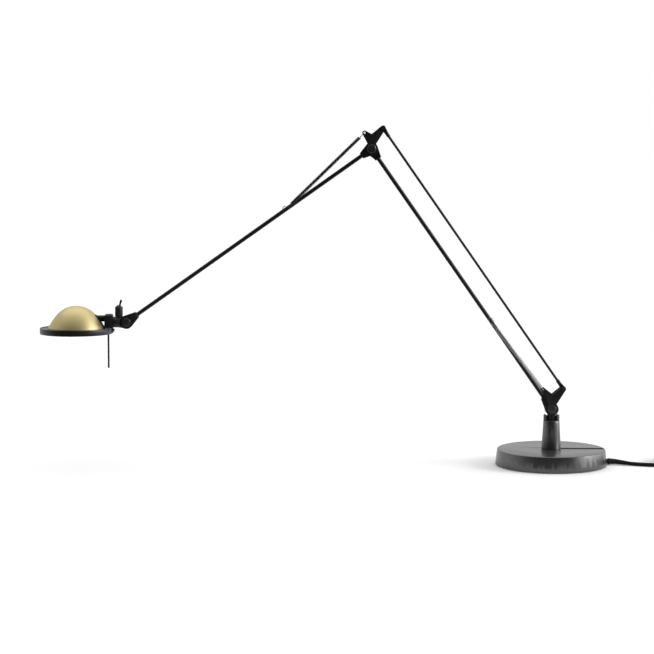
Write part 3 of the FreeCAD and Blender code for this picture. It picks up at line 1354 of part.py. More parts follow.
plug_x = as_value(last_point.x)
plug_y = as_value(coil_end.y)
body, plug_sketch = new_sketch("plug_body", "XY_Plane")
plug_outline = [(-plug_nose, 0), (plug_nose, 0), (plug_width / 2, plug_length / 2),
                (plug_width / 2, plug_length), (-plug_width / 2, plug_length),
                (-plug_width / 2, plug_length / 2)]
for index, (x, y) in enumerate(plug_outline):
    following = plug_outline[(index + 1) % len(plug_outline)]
    plug_sketch.addGeometry(Part.LineSegment(Vector(float(x), float(y), 0),
                                             Vector(float(following[0]), float(following[1]), 0)))
for index, (x, y) in enumerate(plug_outline):
    following = (index + 1) % len(plug_outline)
    plug_sketch.addConstraint(Sketcher.Constraint("Coincident", index, 2, following, 1))
    dimension(plug_sketch, "DistanceX", index, 1, x)
    dimension(plug_sketch, "DistanceY", index, 1, y)
plug_pad = body.newObject("PartDesign::Pad", "plug_pad")
plug_pad.Profile = plug_sketch
bind(plug_pad, "Length", plug_height)
place(body, plug_x, plug_y, 0)
keep("plug_body", body)
plug_pins = [cylinder(f"plug_pin_{index}", plug_pin_radius, plug_pin_length,
                      plug_x + side * plug_pin_spacing / 2, plug_y + plug_length, plug_height / 2,
                      ALONG_Y) for index, side in enumerate((1, -1))]
keep("plug_pins", group("plug_pins", *plug_pins))


# ---------------------------------------------------------------- checks and files

doc.recompute()
for item in doc.Objects:
    if "Invalid" in item.State or "Error" in item.State:
        raise RuntimeError(f"{item.Name} failed: {item.State}")
for item in kept:
    if item.Shape.isNull() or not item.Shape.isValid() or not item.Shape.Solids:
        raise RuntimeError(f"{item.Label} has no valid solid")

os.makedirs("parts", exist_ok=True)
for item in kept:
    item.Shape.exportStep(f"parts/{item.Label}.step")
print(f"{len(kept)} sub-parts written")
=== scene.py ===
# %% [markdown]
# # A spring-balanced desk lamp
# The lamp is a mechanism first: a heavy base, two thin arms held level by a tie rod, two long
# springs, and a small reflector that rolls and tilts. Its metal parts arrive here as a CAD model
# with exact places. This script dresses them. It makes the cord, the spring wires and other small
# things that CAD keeps plain, gives every surface a finish, and sets up a bright studio.

# %% Load the mechanism
import json
import math
import bpy
from mathutils import Matrix, Vector


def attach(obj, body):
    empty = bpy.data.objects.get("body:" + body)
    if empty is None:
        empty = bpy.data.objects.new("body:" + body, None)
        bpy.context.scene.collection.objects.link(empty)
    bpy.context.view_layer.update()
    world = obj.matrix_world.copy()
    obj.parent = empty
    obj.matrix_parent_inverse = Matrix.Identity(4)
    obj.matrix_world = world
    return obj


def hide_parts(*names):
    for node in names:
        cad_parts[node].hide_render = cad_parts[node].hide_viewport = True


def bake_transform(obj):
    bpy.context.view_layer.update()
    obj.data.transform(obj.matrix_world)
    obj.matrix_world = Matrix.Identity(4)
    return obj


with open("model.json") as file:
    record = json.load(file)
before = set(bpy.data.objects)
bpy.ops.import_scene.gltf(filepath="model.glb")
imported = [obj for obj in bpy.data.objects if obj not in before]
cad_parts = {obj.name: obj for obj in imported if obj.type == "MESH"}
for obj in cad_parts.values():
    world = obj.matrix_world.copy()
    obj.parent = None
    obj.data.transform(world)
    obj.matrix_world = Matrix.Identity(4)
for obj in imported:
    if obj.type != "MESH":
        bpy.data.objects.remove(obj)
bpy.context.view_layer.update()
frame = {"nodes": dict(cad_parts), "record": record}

# %% [markdown]
# ## The camera
# The lamp was photographed from far away with a long lens, almost level. A long lens keeps the two
# arms in proportion. The camera stands 2.8 m in front, as high as the elbow, and looks down 5.3
# degrees, which is what opens the base's top and the shade ring into thin ellipses.

# %% Put the camera in front
MM = 0.001
LOOK_DOWN = math.radians(5.3)

bpy.ops.object.camera_add(location=(-0.333, -2.774, 0.463),
                          rotation=(math.radians(90) - LOOK_DOWN, 0, 0))
camera = bpy.context.object
camera.name = "camera"
camera.data.sensor_width = 36
camera.data.lens = 103.8
bpy.context.scene.camera = camera
print("lens:", camera.data.lens, "mm")

# %% [markdown]
# ## The mains lead
# A mains lead is heavy and a little stiff. It leaves the base low, drops to the table at once and
# runs away to the right in one lazy bend. The photograph shows only its first stretch, so the rest
# is put away in a flat two-layer coil past the right edge of the view. One NURBS curve is the whole
# lead: few points where it lies loosely, and sixteen for each turn of the coil.

# %% Choose the lead's points
LEAD_DIAMETER = 5.6 * MM
ON_TABLE = 2.85 * MM
LEAD_EXIT = Vector((84, 0, 5.2)) * MM
COIL_CENTRE = Vector((206, 21.6, 0)) * MM
COIL_MEAN = 33.6 * MM
COIL_STEP = 6.15 * MM
LAYER_TURNS = 3.5
POINTS_PER_TURN = 16

coil_outer = COIL_MEAN + COIL_STEP * LAYER_TURNS / 2
coil_inner = COIL_MEAN - COIL_STEP * LAYER_TURNS / 2
coil_front = COIL_CENTRE.y - coil_outer
loose_points = [
    LEAD_EXIT,
    Vector((92, 0, 5.2)) * MM,
    Vector((103, -2.4, 4.2)) * MM,
    Vector((120, -9.4, 2.85)) * MM,
    Vector((141, -18, 2.85)) * MM,
    Vector((168 * MM, coil_front, ON_TABLE)),
    Vector((200.4 * MM, coil_front, ON_TABLE))]
print("coil:", round(coil_inner, 4), "to", round(coil_outer, 4), "m from its centre")

# %% [markdown]
# The coil spirals inwards on the table, climbs one layer in half a turn and spirals out again, so
# the turns lie beside and on each other. A curve of this order passes a little inside its points,
# so the points stand further out by that amount.


# %% Work out the coil's turns
def eased(value, low, high):
    share = min(max((value - low) / (high - low), 0), 1)
    return share * share * (3 - 2 * share)


def coil_point(turn, plug_height=14 * MM):
    climb = LAYER_TURNS + 0.5
    top = ON_TABLE + COIL_STEP
    if turn < LAYER_TURNS:
        radius = coil_outer - COIL_STEP * turn
        height = ON_TABLE
    elif turn < climb:
        share = (turn - LAYER_TURNS) / 0.5
        radius = coil_inner - 0.25 * COIL_STEP * math.sin(math.pi * share)
        height = ON_TABLE + COIL_STEP * eased(share, 0, 1)
    else:
        radius = coil_inner + COIL_STEP * (turn - climb)
        height = top
    leave = climb + LAYER_TURNS - 0.75
    radius += 1.5 * COIL_STEP * eased(turn, leave - 0.25, leave + 0.25)
    height += (plug_height / 2 - top) * eased(turn, leave, leave + 0.5)
    return radius, math.tau * (turn - 0.25), height


coil_turns = 2 * LAYER_TURNS + 0.25
outwards = 4 / (3 + math.cos(math.tau / POINTS_PER_TURN))
coil_points = []
for index in range(1, int(coil_turns * POINTS_PER_TURN)):
    radius, angle, height = coil_point(index / POINTS_PER_TURN)
    around = Vector((math.cos(angle), math.sin(angle), 0)) * radius * outwards
    coil_points.append(COIL_CENTRE + around + Vector((0, 0, height)))
last_radius, _, last_height = coil_point(coil_turns)
lead_turn_off = COIL_CENTRE + Vector((last_radius, 0, last_height))
plug_place = lead_turn_off + Vector((0, 20 * MM, 0))
print("turns:", coil_turns, "points:", len(coil_points))


# %% [markdown]
# A curve becomes a wire when it is given a round bevel. The radius is written on the curve's points
# and the bevel's own depth is one, because Blender's box round a curve grows by the points' radius.


# %% Draw the lead
def drawn_line(name, points, order=3):
    """A NURBS curve with these control points, from its first to its last."""
    bpy.ops.object.select_all(action="DESELECT")
    bpy.ops.curve.primitive_nurbs_path_add(location=(0, 0, 0))
    line = bpy.context.object
    line.name = name
    line.data.splines.clear()
    spline = line.data.splines.new("NURBS")
    spline.points.add(len(points) - 1)
    for place, point in zip(spline.points, points):
        place.co = (*point, 1)
    spline.order_u = order
    spline.use_endpoint_u = True
    return line


def round_wire(line, diameter, resolution=3):
    """The same curve as a round wire, closed at its ends; the radius is written on its points."""
    line.data.dimensions = "3D"
    line.data.bevel_depth = 1
    for point in line.data.splines[0].points:
        point.radius = diameter / 2
    line.data.bevel_resolution = resolution
    line.data.use_fill_caps = True
    line.data.resolution_u = 6
    return line


def as_mesh(line, body):
    """The wire turned into a mesh that rides on a body."""
    bpy.ops.object.select_all(action="DESELECT")
    line.select_set(True)
    bpy.context.view_layer.objects.active = line
    bpy.ops.object.convert(target="MESH")
    piece = bpy.context.object
    bpy.ops.object.shade_smooth_by_angle(angle=math.radians(40))
    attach(piece, body)
    return piece


mains_lead = round_wire(
    drawn_line("mains_lead", loose_points + coil_points + [lead_turn_off, plug_place]),
    LEAD_DIAMETER, resolution=4)
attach(mains_lead, "base")
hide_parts("cord_lead", "cord_coil")
print("mains lead:", len(mains_lead.data.splines[0].points), "points")

# %% [markdown]
# A lead would break where it leaves the base if it could bend sharply there. A soft sleeve, thick
# at the base and thin at its far end, spreads the bend. Its grooves let it flex. The sleeve follows
# the lead's own line, so that line is read back first, from a copy of the lead with no thickness.

# %% Mould the strain relief
RELIEF_LENGTH = 30 * MM
RELIEF_STEP = 0.5 * MM
GROOVE_EVERY = 3.5 * MM
bare_lead = mains_lead.copy()
bare_lead.data = mains_lead.data.copy()
bare_lead.data.bevel_depth = 0
bare_mesh = bpy.data.meshes.new_from_object(bare_lead)
route = [vertex.co.copy() for vertex in bare_mesh.vertices]
bpy.data.objects.remove(bare_lead)
print("route:", len(route), "points from", tuple(round(v, 4) for v in route[0]))


def along_route(step, total):
    """Points on the lead's line, a step apart, up to a distance from the exit."""
    places, walked = [route[0]], 0
    for near, far in zip(route, route[1:]):
        span = (far - near).length
        while len(places) * step <= min(walked + span, total):
            share = (len(places) * step - walked) / span
            places.append(near.lerp(far, share))
        walked += span
    return places


relief_line = along_route(RELIEF_STEP, RELIEF_LENGTH)
strain_relief = round_wire(drawn_line("strain_relief", relief_line), LEAD_DIAMETER, resolution=6)
strain_relief.data.resolution_u = 1
for index, point in enumerate(strain_relief.data.splines[0].points):
    walked = index * RELIEF_STEP
    taper = 1 - walked / RELIEF_LENGTH
    groove = math.sin(math.pi * walked / GROOVE_EVERY) ** 8 if 0.1 < taper < 0.85 else 0
    point.radius = LEAD_DIAMETER / 2 + (0.25 + 1.7 * taper - 0.55 * groove * (0.3 + taper)) * MM
strain_relief = as_mesh(strain_relief, "base")
print("strain relief:", len(strain_relief.data.polygons), "faces")

# %% [markdown]
# A put-away lead is held by a wire tie. It goes a little over twice round the bundle of turns, at
# the side that faces the lamp, and its last end stands up a little. The wire sinks about a
# millimetre into the soft sheath, most of all underneath, where the lead lies on the table.

# %% Tie the coil
TIE_WIRE = 1.1 * MM
bundle = [(18.2, 5.9), (20.5, 10.6), (27, 12.4), (36, 12.5), (45, 12.5), (48.0, 9.0),
          (44.8, 3.2), (42.2, 0.6), (35, 0.56), (27, 0.56), (20.5, 1.6)]
tie_points = []
for turn in range(3):
    for index, (reach, height) in enumerate(bundle):
        across = (turn + index / len(bundle) - 1.5) * 1.25 * MM
        tie_points.append(COIL_CENTRE + Vector((-reach * MM, across, height * MM)))
tie_points = tie_points[2:-7]
tie_end = tie_points[-1]
tie_points += [tie_end + Vector((-1, 0.4, 1.2)) * MM, tie_end + Vector((-0.4, 0.6, 3.0)) * MM]
coil_tie = round_wire(drawn_line("coil_tie", tie_points), TIE_WIRE, resolution=3)
coil_tie = as_mesh(coil_tie, "base")
print("tie:", len(coil_tie.data.polygons), "faces")

# %% [markdown]
# ## The studio
# The backdrop is plain white. The paper on the floor is a little brighter to the camera than real
# paper, so it reads white everywhere but in the soft shadow beside the base. Metal needs something
# to reflect. The room is bright behind the lamp, at its right and above, and dark
# on the camera's side, so round parts get light edges and a dark middle. Dark fabric on the floor
# in front would do the same in a studio; here painted shade makes the floor dark there for all but
# the camera.

# %% Lay the floor
bpy.ops.mesh.primitive_plane_add(size=16, location=(0, 0, 0))
floor = bpy.context.object
floor.name = "floor"
paper = bpy.data.materials.new("studio_paper")
paper.use_nodes = True
nodes, links = paper.node_tree.nodes, paper.node_tree.links
nodes.clear()
output = nodes.new("ShaderNodeOutputMaterial")
rays = nodes.new("ShaderNodeLightPath")
lit = nodes.new("ShaderNodeBsdfDiffuse")
lit.inputs["Color"].default_value = (0.98, 0.975, 0.965, 1)
glow = nodes.new("ShaderNodeEmission")
glow.inputs["Strength"].default_value = 0.05
paper_sum = nodes.new("ShaderNodeAddShader")
links.new(glow.outputs[0], paper_sum.inputs[0])
links.new(lit.outputs[0], paper_sum.inputs[1])
ground = nodes.new("ShaderNodeTexCoord")
split = nodes.new("ShaderNodeSeparateXYZ")
links.new(ground.outputs["Object"], split.inputs[0])
# Painted shade: to all but the camera the floor's colour runs from dark in front to pale behind, so
# metal shows dark there and less light bounces onto the base.
front_shade_ramp = nodes.new("ShaderNodeMapRange")
front_shade_ramp.interpolation_type = "SMOOTHSTEP"
front_shade_ramp.inputs["From Min"].default_value = -0.5
front_shade_ramp.inputs["From Max"].default_value = 0.0
front_shade_ramp.inputs["To Min"].default_value = 0.03
front_shade_ramp.inputs["To Max"].default_value = 0.8
links.new(split.outputs["Y"], front_shade_ramp.inputs["Value"])
unseen = nodes.new("ShaderNodeBsdfDiffuse")
links.new(front_shade_ramp.outputs[0], unseen.inputs["Color"])
seen_mix = nodes.new("ShaderNodeMixShader")
links.new(rays.outputs["Is Camera Ray"], seen_mix.inputs["Fac"])
links.new(unseen.outputs[0], seen_mix.inputs[1])
links.new(paper_sum.outputs[0], seen_mix.inputs[2])
links.new(seen_mix.outputs[0], output.inputs["Surface"])
floor.data.materials.append(paper)
print("floor:", tuple(floor.dimensions))

# %% [markdown]
# The room is a world with no walls. Its brightness depends on direction alone: a smooth step from
# dark in front to bright behind, and a second one that adds a bright wall at the right. The camera
# and the bulb's glass see plain white instead. Metal sees the room, which is not white.

# %% Light the room
world = bpy.data.worlds.new("studio_room")
bpy.context.scene.world = world
world.use_nodes = True
nodes, links = world.node_tree.nodes, world.node_tree.links
nodes.clear()
output = nodes.new("ShaderNodeOutputWorld")
rays = nodes.new("ShaderNodeLightPath")
direction = nodes.new("ShaderNodeTexCoord")
split = nodes.new("ShaderNodeSeparateXYZ")
links.new(direction.outputs["Generated"], split.inputs[0])
depth = nodes.new("ShaderNodeMapRange")
depth.interpolation_type = "SMOOTHSTEP"
depth.inputs["From Min"].default_value = -0.85
depth.inputs["From Max"].default_value = 0.35
depth.inputs["To Min"].default_value = 0.03
depth.inputs["To Max"].default_value = 0.75
links.new(split.outputs["Y"], depth.inputs["Value"])
right_wall = nodes.new("ShaderNodeMapRange")
right_wall.interpolation_type = "SMOOTHSTEP"
right_wall.inputs["From Min"].default_value = 0.6
right_wall.inputs["From Max"].default_value = 0.92
right_wall.inputs["To Max"].default_value = 1.7
links.new(split.outputs["X"], right_wall.inputs["Value"])
walls = nodes.new("ShaderNodeMath")
walls.operation = "ADD"
links.new(depth.outputs[0], walls.inputs[0])
links.new(right_wall.outputs[0], walls.inputs[1])
room = nodes.new("ShaderNodeBackground")
links.new(walls.outputs[0], room.inputs["Strength"])
room.inputs["Color"].default_value = (0.97, 0.98, 1.0, 1)
white = nodes.new("ShaderNodeBackground")
white.inputs["Color"].default_value = (1, 1, 1, 1)
direct = nodes.new("ShaderNodeMath")
direct.operation = "MAXIMUM"
links.new(rays.outputs["Is Camera Ray"], direct.inputs[0])
links.new(rays.outputs["Is Transmission Ray"], direct.inputs[1])
room_mix = nodes.new("ShaderNodeMixShader")
links.new(direct.outputs[0], room_mix.inputs["Fac"])
links.new(room.outputs[0], room_mix.inputs[1])
links.new(white.outputs[0], room_mix.inputs[2])
links.new(room_mix.outputs[0], output.inputs["Surface"])
bpy.context.scene.view_settings.view_transform = "Standard"
print("room: dark in front, bright behind and at the right")

# %% [markdown]
# Two suns light the lamp, because a sun shines the same everywhere and leaves no bright spot on the
# floor. The wide one at the right makes the soft shadow at the left of the base. The very wide one
# above fills in.

# %% Hang the lamps
bpy.ops.object.light_add(type="SUN", location=(2.5, -0.3, 1.2))
key_lamp = bpy.context.object
key_lamp.name = "key_lamp"
key_lamp.data.energy = 1.3
key_lamp.data.angle = math.radians(24)
key_lamp.rotation_euler = Vector((-1, 0.16, -0.42)).to_track_quat("-Z", "Y").to_euler()
bpy.ops.object.light_add(type="SUN", location=(0, 0.5, 3))
top_lamp = bpy.context.object
top_lamp.name = "top_lamp"
top_lamp.data.energy = 0.9
top_lamp.data.angle = math.radians(80)
top_lamp.rotation_euler = Vector((0.05, -0.25, -1)).to_track_quat("-Z", "Y").to_euler()
print("lamps:", key_lamp.name, top_lamp.name)

# %% [markdown]
# ## Finishes
# Every finish below has the same bones: a Principled shader whose colour, roughness and bump come
# from noise in the piece's own space. The sizes of the noise differ, because powder coat, moulded
# plastic and brushed metal differ mostly in the scale of their grain.


# %% Make a grained finish
def grained(name, dark, light, roughness, grain, bump, metallic=0.0, spread=0.06, stretch=(1, 1, 1)):
    """A surface between two colours, with grains of the given size in metres."""
    finish = bpy.data.materials.new(name)
    finish.use_nodes = True
    tree = finish.node_tree
    shader = tree.nodes["Principled BSDF"]
    shader.inputs["Metallic"].default_value = metallic
    place = tree.nodes.new("ShaderNodeTexCoord")
    turn = tree.nodes.new("ShaderNodeMapping")
    turn.inputs["Scale"].default_value = stretch
    tree.links.new(place.outputs["Object"], turn.inputs["Vector"])
    cloud = tree.nodes.new("ShaderNodeTexNoise")
    cloud.inputs["Scale"].default_value = 0.12 / grain
    cloud.inputs["Detail"].default_value = 3
    tree.links.new(turn.outputs[0], cloud.inputs["Vector"])
    tint = tree.nodes.new("ShaderNodeMix")
    tint.data_type = "RGBA"
    tint.inputs["A"].default_value = (*dark, 1)
    tint.inputs["B"].default_value = (*light, 1)
    tree.links.new(cloud.outputs["Fac"], tint.inputs["Factor"])
    tree.links.new(tint.outputs["Result"], shader.inputs["Base Color"])
    fine = tree.nodes.new("ShaderNodeTexNoise")
    fine.inputs["Scale"].default_value = 1 / grain
    fine.inputs["Detail"].default_value = 4
    tree.links.new(turn.outputs[0], fine.inputs["Vector"])
    sheen = tree.nodes.new("ShaderNodeMapRange")
    sheen.inputs["To Min"].default_value = roughness - spread
    sheen.inputs["To Max"].default_value = roughness + spread
    tree.links.new(fine.outputs["Fac"], sheen.inputs["Value"])
    tree.links.new(sheen.outputs[0], shader.inputs["Roughness"])
    relief = tree.nodes.new("ShaderNodeBump")
    relief.inputs["Strength"].default_value = bump
    relief.inputs["Distance"].default_value = grain / 4
    tree.links.new(fine.outputs["Fac"], relief.inputs["Height"])
    tree.links.new(relief.outputs[0], shader.inputs["Normal"])
    return finish


print("a grained finish takes two colours and a grain size")

# %% [markdown]
# The base and the stem are powder coated in a warm dark grey with a metallic flake. The coat is
# satin: it smears the bright room into soft bands, light at the left and right edges.

# %% Coat the base
finishes = {}
finishes["gunmetal"] = grained("gunmetal_coat", (0.140, 0.137, 0.134), (0.172, 0.169, 0.166),
                               roughness=0.27, grain=0.5 * MM, bump=0.1, metallic=0.8)
finishes["black_metal"] = grained("black_coat", (0.016, 0.016, 0.017), (0.026, 0.026, 0.028),
                                  roughness=0.42, grain=0.4 * MM, bump=0.15, metallic=0.2)
finishes["arm_metal"] = grained("arm_coat", (0.020, 0.020, 0.021), (0.032, 0.032, 0.034),
                                roughness=0.36, grain=0.4 * MM, bump=0.1, metallic=0.5)
print("coats:", sorted(finishes))

# %% [markdown]
# The joints, lugs and plates are moulded in black plastic. Moulded plastic has a fine spark-eroded
# texture from its tool: no gloss, but a soft grey highlight on every rounded edge.

# %% Mould the plastics and the rubber
finishes["black_plastic"] = grained("moulded_black", (0.012, 0.012, 0.013), (0.022, 0.022, 0.024),
                                    roughness=0.5, grain=0.35 * MM, bump=0.25)
finishes["washer_plastic"] = grained("washer_nylon", (0.02, 0.02, 0.021), (0.035, 0.035, 0.036),
                                     roughness=0.45, grain=0.3 * MM, bump=0.1)
finishes["ring_plastic"] = grained("ring_coat", (0.022, 0.022, 0.024), (0.034, 0.034, 0.036),
                                   roughness=0.33, grain=0.3 * MM, bump=0.1, metallic=0.3)
finishes["lever_plastic"] = grained("lever_black", (0.012, 0.012, 0.012), (0.02, 0.02, 0.02),
                                    roughness=0.24, grain=0.5 * MM, bump=0.05)
finishes["foot_rubber"] = grained("foot_rubber", (0.010, 0.010, 0.010), (0.020, 0.020, 0.020),
                                  roughness=0.8, grain=0.6 * MM, bump=0.4)
finishes["cord_sheath"] = grained("lead_sheath", (0.008, 0.008, 0.009), (0.014, 0.014, 0.015),
                                  roughness=0.55, grain=0.5 * MM, bump=0.2)
sheath_skin = finishes["cord_sheath"].node_tree.nodes["Principled BSDF"]
sheath_skin.inputs["Specular IOR Level"].default_value = 0.2
finishes["ceramic"] = grained("ceramic_white", (0.72, 0.70, 0.65), (0.84, 0.82, 0.78),
                              roughness=0.35, grain=0.4 * MM, bump=0.15)
print("finishes so far:", len(finishes))

# %% [markdown]
# Bare metal: zinc-plated steel inside the base, dark burnished pivot caps, bright spring wire, the
# spun aluminium inside the shade and the brass pins of the plug. The dome is anodised in a pale
# gold. It is satin, so it shows its colour everywhere and only a broad highlight.

# %% Finish the bare metals
finishes["zinc_steel"] = grained("zinc_steel", (0.48, 0.49, 0.50), (0.62, 0.62, 0.62),
                                 roughness=0.35, grain=1.2 * MM, bump=0.1, metallic=1.0)
finishes["ballast"] = grained("cast_ballast", (0.16, 0.16, 0.16), (0.26, 0.25, 0.24),
                              roughness=0.7, grain=0.9 * MM, bump=0.5, metallic=0.6)
finishes["pivot_metal"] = grained("pivot_cap_metal", (0.085, 0.085, 0.088), (0.130, 0.130, 0.134),
                                  roughness=0.34, grain=0.5 * MM, bump=0.08, metallic=0.8)
finishes["spring_steel"] = grained("spring_steel", (0.30, 0.30, 0.31), (0.42, 0.42, 0.43),
                                   roughness=0.3, grain=0.3 * MM, bump=0.05, metallic=1.0)
oiled_steel = grained("oiled_spring_steel", (0.030, 0.030, 0.031), (0.055, 0.055, 0.056),
                      roughness=0.35, grain=0.3 * MM, bump=0.05, metallic=0.9)
finishes["reflector_aluminium"] = grained("spun_aluminium", (0.82, 0.82, 0.83), (0.9, 0.9, 0.9),
                                          roughness=0.2, grain=0.6 * MM, bump=0.05, metallic=1.0)
finishes["plug_brass"] = grained("plug_brass", (0.66, 0.50, 0.24), (0.76, 0.60, 0.32),
                                 roughness=0.25, grain=0.5 * MM, bump=0.05, metallic=1.0)
finishes["bulb_wire"] = grained("bulb_wire", (0.55, 0.55, 0.56), (0.65, 0.65, 0.66),
                                roughness=0.25, grain=0.3 * MM, bump=0.05, metallic=1.0)
finishes["gold"] = grained("satin_gold", (0.57, 0.47, 0.22), (0.62, 0.52, 0.26),
                           roughness=0.42, grain=0.35 * MM, bump=0.08, metallic=0.9)
print("finishes so far:", len(finishes))

# %% [markdown]
# Glass is the same grained finish with light passing through it. Its grain is large and shallow,
# so the bulb is smooth with a slight unevenness.

# %% Melt the bulb's glass
glass = grained("bulb_glass", (0.93, 0.95, 0.96), (0.98, 0.98, 0.98),
                roughness=0.05, grain=2 * MM, bump=0.02, spread=0.02)
melt = glass.node_tree.nodes["Principled BSDF"]
melt.inputs["Transmission Weight"].default_value = 1.0
melt.inputs["IOR"].default_value = 1.46
finishes["bulb_glass"] = glass
print("glass, IOR 1.46")

# %% [markdown]
# Each part in the CAD record names the finish it is made with, so one loop dresses them all.

# %% Dress the CAD parts
body_of = {}
for body, parts in frame["record"]["behaviour"]["bodies"].items():
    for part in parts:
        body_of[part] = body
slot_of = {part["node"]: part["material_slot"] for part in frame["record"]["subparts"]}
for name, slot in slot_of.items():
    for place in frame["nodes"][name].material_slots:
        place.material = finishes[slot]
print("dressed:", len(slot_of))

# %% [markdown]
# ## Softer edges
# A CAD edge is perfectly sharp, and a perfectly sharp edge never catches the light. Real castings,
# mouldings and turned parts have a small radius. The parts whose edges show most are copied; tubes,
# rods and the dome stay as they are. In a copy the loose triangles are joined, flat faces become
# single faces, and a Bevel modifier rounds every edge that turns more than thirty degrees.


# %% Round a part's edges
def rounded_copy(part, radius=0.3 * MM, smooth_angle=40):
    """A copy of a CAD part with rounded edges, which stands for it."""
    original = frame["nodes"][part]
    bpy.ops.object.select_all(action="DESELECT")
    original.select_set(True)
    bpy.context.view_layer.objects.active = original
    bpy.ops.object.duplicate()
    piece = bpy.context.object
    piece.name = f"{part}_rounded"
    bpy.ops.object.mode_set(mode="EDIT")
    bpy.ops.mesh.select_all(action="SELECT")
    bpy.ops.mesh.remove_doubles(threshold=1e-6)
    bpy.ops.mesh.dissolve_limited(angle_limit=math.radians(0.5))
    bpy.ops.object.mode_set(mode="OBJECT")
    bpy.ops.object.modifier_add(type="BEVEL")
    edges = piece.modifiers[-1]
    edges.width = radius
    edges.segments = 2
    edges.limit_method = "ANGLE"
    edges.angle_limit = math.radians(30)
    bpy.ops.object.modifier_apply(modifier=edges.name)
    bpy.ops.object.shade_smooth_by_angle(angle=math.radians(smooth_angle))
    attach(piece, body_of[part])
    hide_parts(part)
    return piece


rounded_parts = {
    "base_cover": 0.5, "stem": 0.4, "swivel_bush": 0.3, "swivel_yoke": 0.35,
    "base_pivot_caps": 0.3, "elbow_caps": 0.3, "wrist_caps": 0.3,
    "lower_base_fitting": 0.3, "lower_elbow_fitting": 0.3,
    "upper_elbow_fork": 0.3, "upper_wrist_fork": 0.3,
    "front_link_plate": 0.3, "rear_link_plate": 0.3, "tie_rod_ends": 0.25,
    "head_body": 0.35, "holder_block": 0.3, "switch_body": 0.2,
    "shade_ring": 0.3, "ring_screw": 0.2, "plug_body": 0.9}
for part, radius in rounded_parts.items():
    piece = rounded_copy(part, radius * MM)
    print(piece.name, len(piece.data.polygons), "faces")

# %% [markdown]
# ## The balance springs
# Each spring is one steel wire: a hook through the ear, a long close coil and an eye round a stud
# on the arm. CAD splits it, because the spring stretches when the arm moves, and gives it fewer
# turns. Here it is one curve again, wound closer, as such springs are; how many turns the real ones
# have can't be counted. The wire is drawn in the spring's own frame, with X along it, and then
# turned into place.
# The lower spring is bright, the upper one oiled dark.

# %% Give the springs' places
BASE_PIVOT = Vector((0, 0, 84)) * MM
LOWER_ARM = math.radians(124.9)
UPPER_ARM = math.radians(215.2)


def from_pivot(pivot, direction, reach):
    return pivot + Vector((math.cos(direction), 0, math.sin(direction))) * reach


elbow = from_pivot(BASE_PIVOT, LOWER_ARM, 468 * MM)
wrist = from_pivot(elbow, UPPER_ARM, 442 * MM)
SPRING_Y = -6.2 * MM
WIRE = 1.0 * MM
TURN_RADIUS = 2.25 * MM
print("elbow:", tuple(round(v, 4) for v in elbow), "wrist:", tuple(round(v, 4) for v in wrist))


# %% [markdown]
# The points come in three lots: a hook that goes through the ear, the coil with twelve points to a
# turn, and an eye that lies round its stud. A curve of order four passes inside its points, so the
# coil's points stand further out by a known amount.


# %% Draw one spring's wire
def arc(centre, radius, angles, flat):
    """Points round a centre; flat turns a cosine and a sine into a direction."""
    return [centre + flat(math.cos(math.radians(a)), math.sin(math.radians(a))) * radius
            for a in angles]


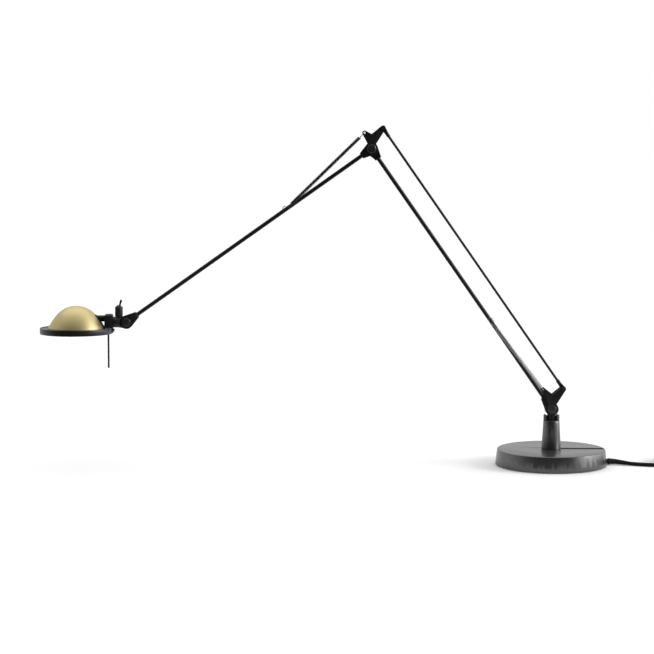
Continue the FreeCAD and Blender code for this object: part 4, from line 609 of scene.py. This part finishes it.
def spring_wire(name, steel, hook, stud, turns, first, eye_radius, eye_side, eye_along, eye_above):
    length = (stud - hook).length
    last = length - 12 * MM
    pitch = (last - first) / turns
    per_turn = 12
    wider = TURN_RADIUS * 3 / (2 + math.cos(math.tau / per_turn))
    hook_points = [Vector((first - 0.55 * MM, TURN_RADIUS, 0)),
                   Vector((first - 1.6 * MM, TURN_RADIUS, 0))]
    hook_points += arc(Vector((TURN_RADIUS, 0, 0)), wider, range(90, 271, 30),
                       lambda c, s: Vector((c, s, 0)))
    coil = []
    for index in range(int(turns * per_turn) + 1):
        angle = math.tau * index / per_turn
        coil.append(Vector((first + pitch * index / per_turn, -wider * math.cos(angle),
                            wider * math.sin(angle))))
    near = Vector((length + eye_along - eye_side / 2, 0, -eye_above))
    far = near + Vector((eye_side, 0, 0))
    upright = lambda c, s: Vector((c, 0, s))
    eye = [Vector((last + 0.6 * TURN_RADIUS, -0.35 * TURN_RADIUS, 0.35 * TURN_RADIUS)),
           Vector((last + 1.3 * TURN_RADIUS, 0, 0.2 * TURN_RADIUS))]
    eye += arc(near, eye_radius, (135, 112, 90), upright)
    eye += arc(far, eye_radius, (90, 60, 30, 0, -30, -60, -90), upright)
    eye += arc(near, eye_radius, (-90, -120, -150), upright)
    wire = round_wire(drawn_line(name, hook_points + coil + eye, order=4), WIRE, resolution=2)
    wire.data.resolution_u = 2
    bpy.ops.object.convert(target="MESH")
    wire = bpy.context.object
    along = (stud - hook).normalized()
    turned = Matrix((along, Vector((0, 1, 0)), along.cross(Vector((0, 1, 0))))).transposed()
    wire.data.transform(Matrix.Translation(hook) @ turned.to_4x4())
    bpy.ops.object.shade_smooth()
    wire.data.materials.clear()
    wire.data.materials.append(steel)
    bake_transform(wire)
    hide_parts(name, f"{name}_loop")
    wire.name = f"{name}_wire"
    return wire


# %% [markdown]
# Each call gives a spring's hook and stud, its turns, where its coil starts, and its eye.

# %% Wind both springs
beside = Vector((0, SPRING_Y, 0))
lower_hook = from_pivot(BASE_PIVOT, math.radians(114.5), 31 * MM) + beside
lower_stud = from_pivot(BASE_PIVOT, LOWER_ARM, 157.7 * MM) + beside
lower_wire = spring_wire("lower_spring", finishes["spring_steel"], lower_hook, lower_stud, 72,
                         5.6 * MM, 3.35 * MM, 2.6 * MM, 2.31 * MM, 0.67 * MM)
upper_hook = from_pivot(elbow, math.radians(114), 25.5 * MM) + beside
upper_stud = from_pivot(elbow, UPPER_ARM, 154 * MM) + beside
upper_wire = spring_wire("upper_spring", oiled_steel, upper_hook, upper_stud, 96, 10 * MM,
                         3.6 * MM, 0.6 * MM, -0.5 * MM, 1.43 * MM)
print("springs:", len(lower_wire.data.polygons), len(upper_wire.data.polygons), "faces")

# %% [markdown]
# The lead was drawn before its finish existed, so it is dressed now.

mains_lead.data.materials.append(finishes["cord_sheath"])
strain_relief.data.materials.append(finishes["cord_sheath"])
coil_tie.data.materials.append(finishes["washer_plastic"])

# %% [markdown]
# Last, the scene is brought up to date.

# %% Bring the scene up to date
bpy.context.view_layer.update()
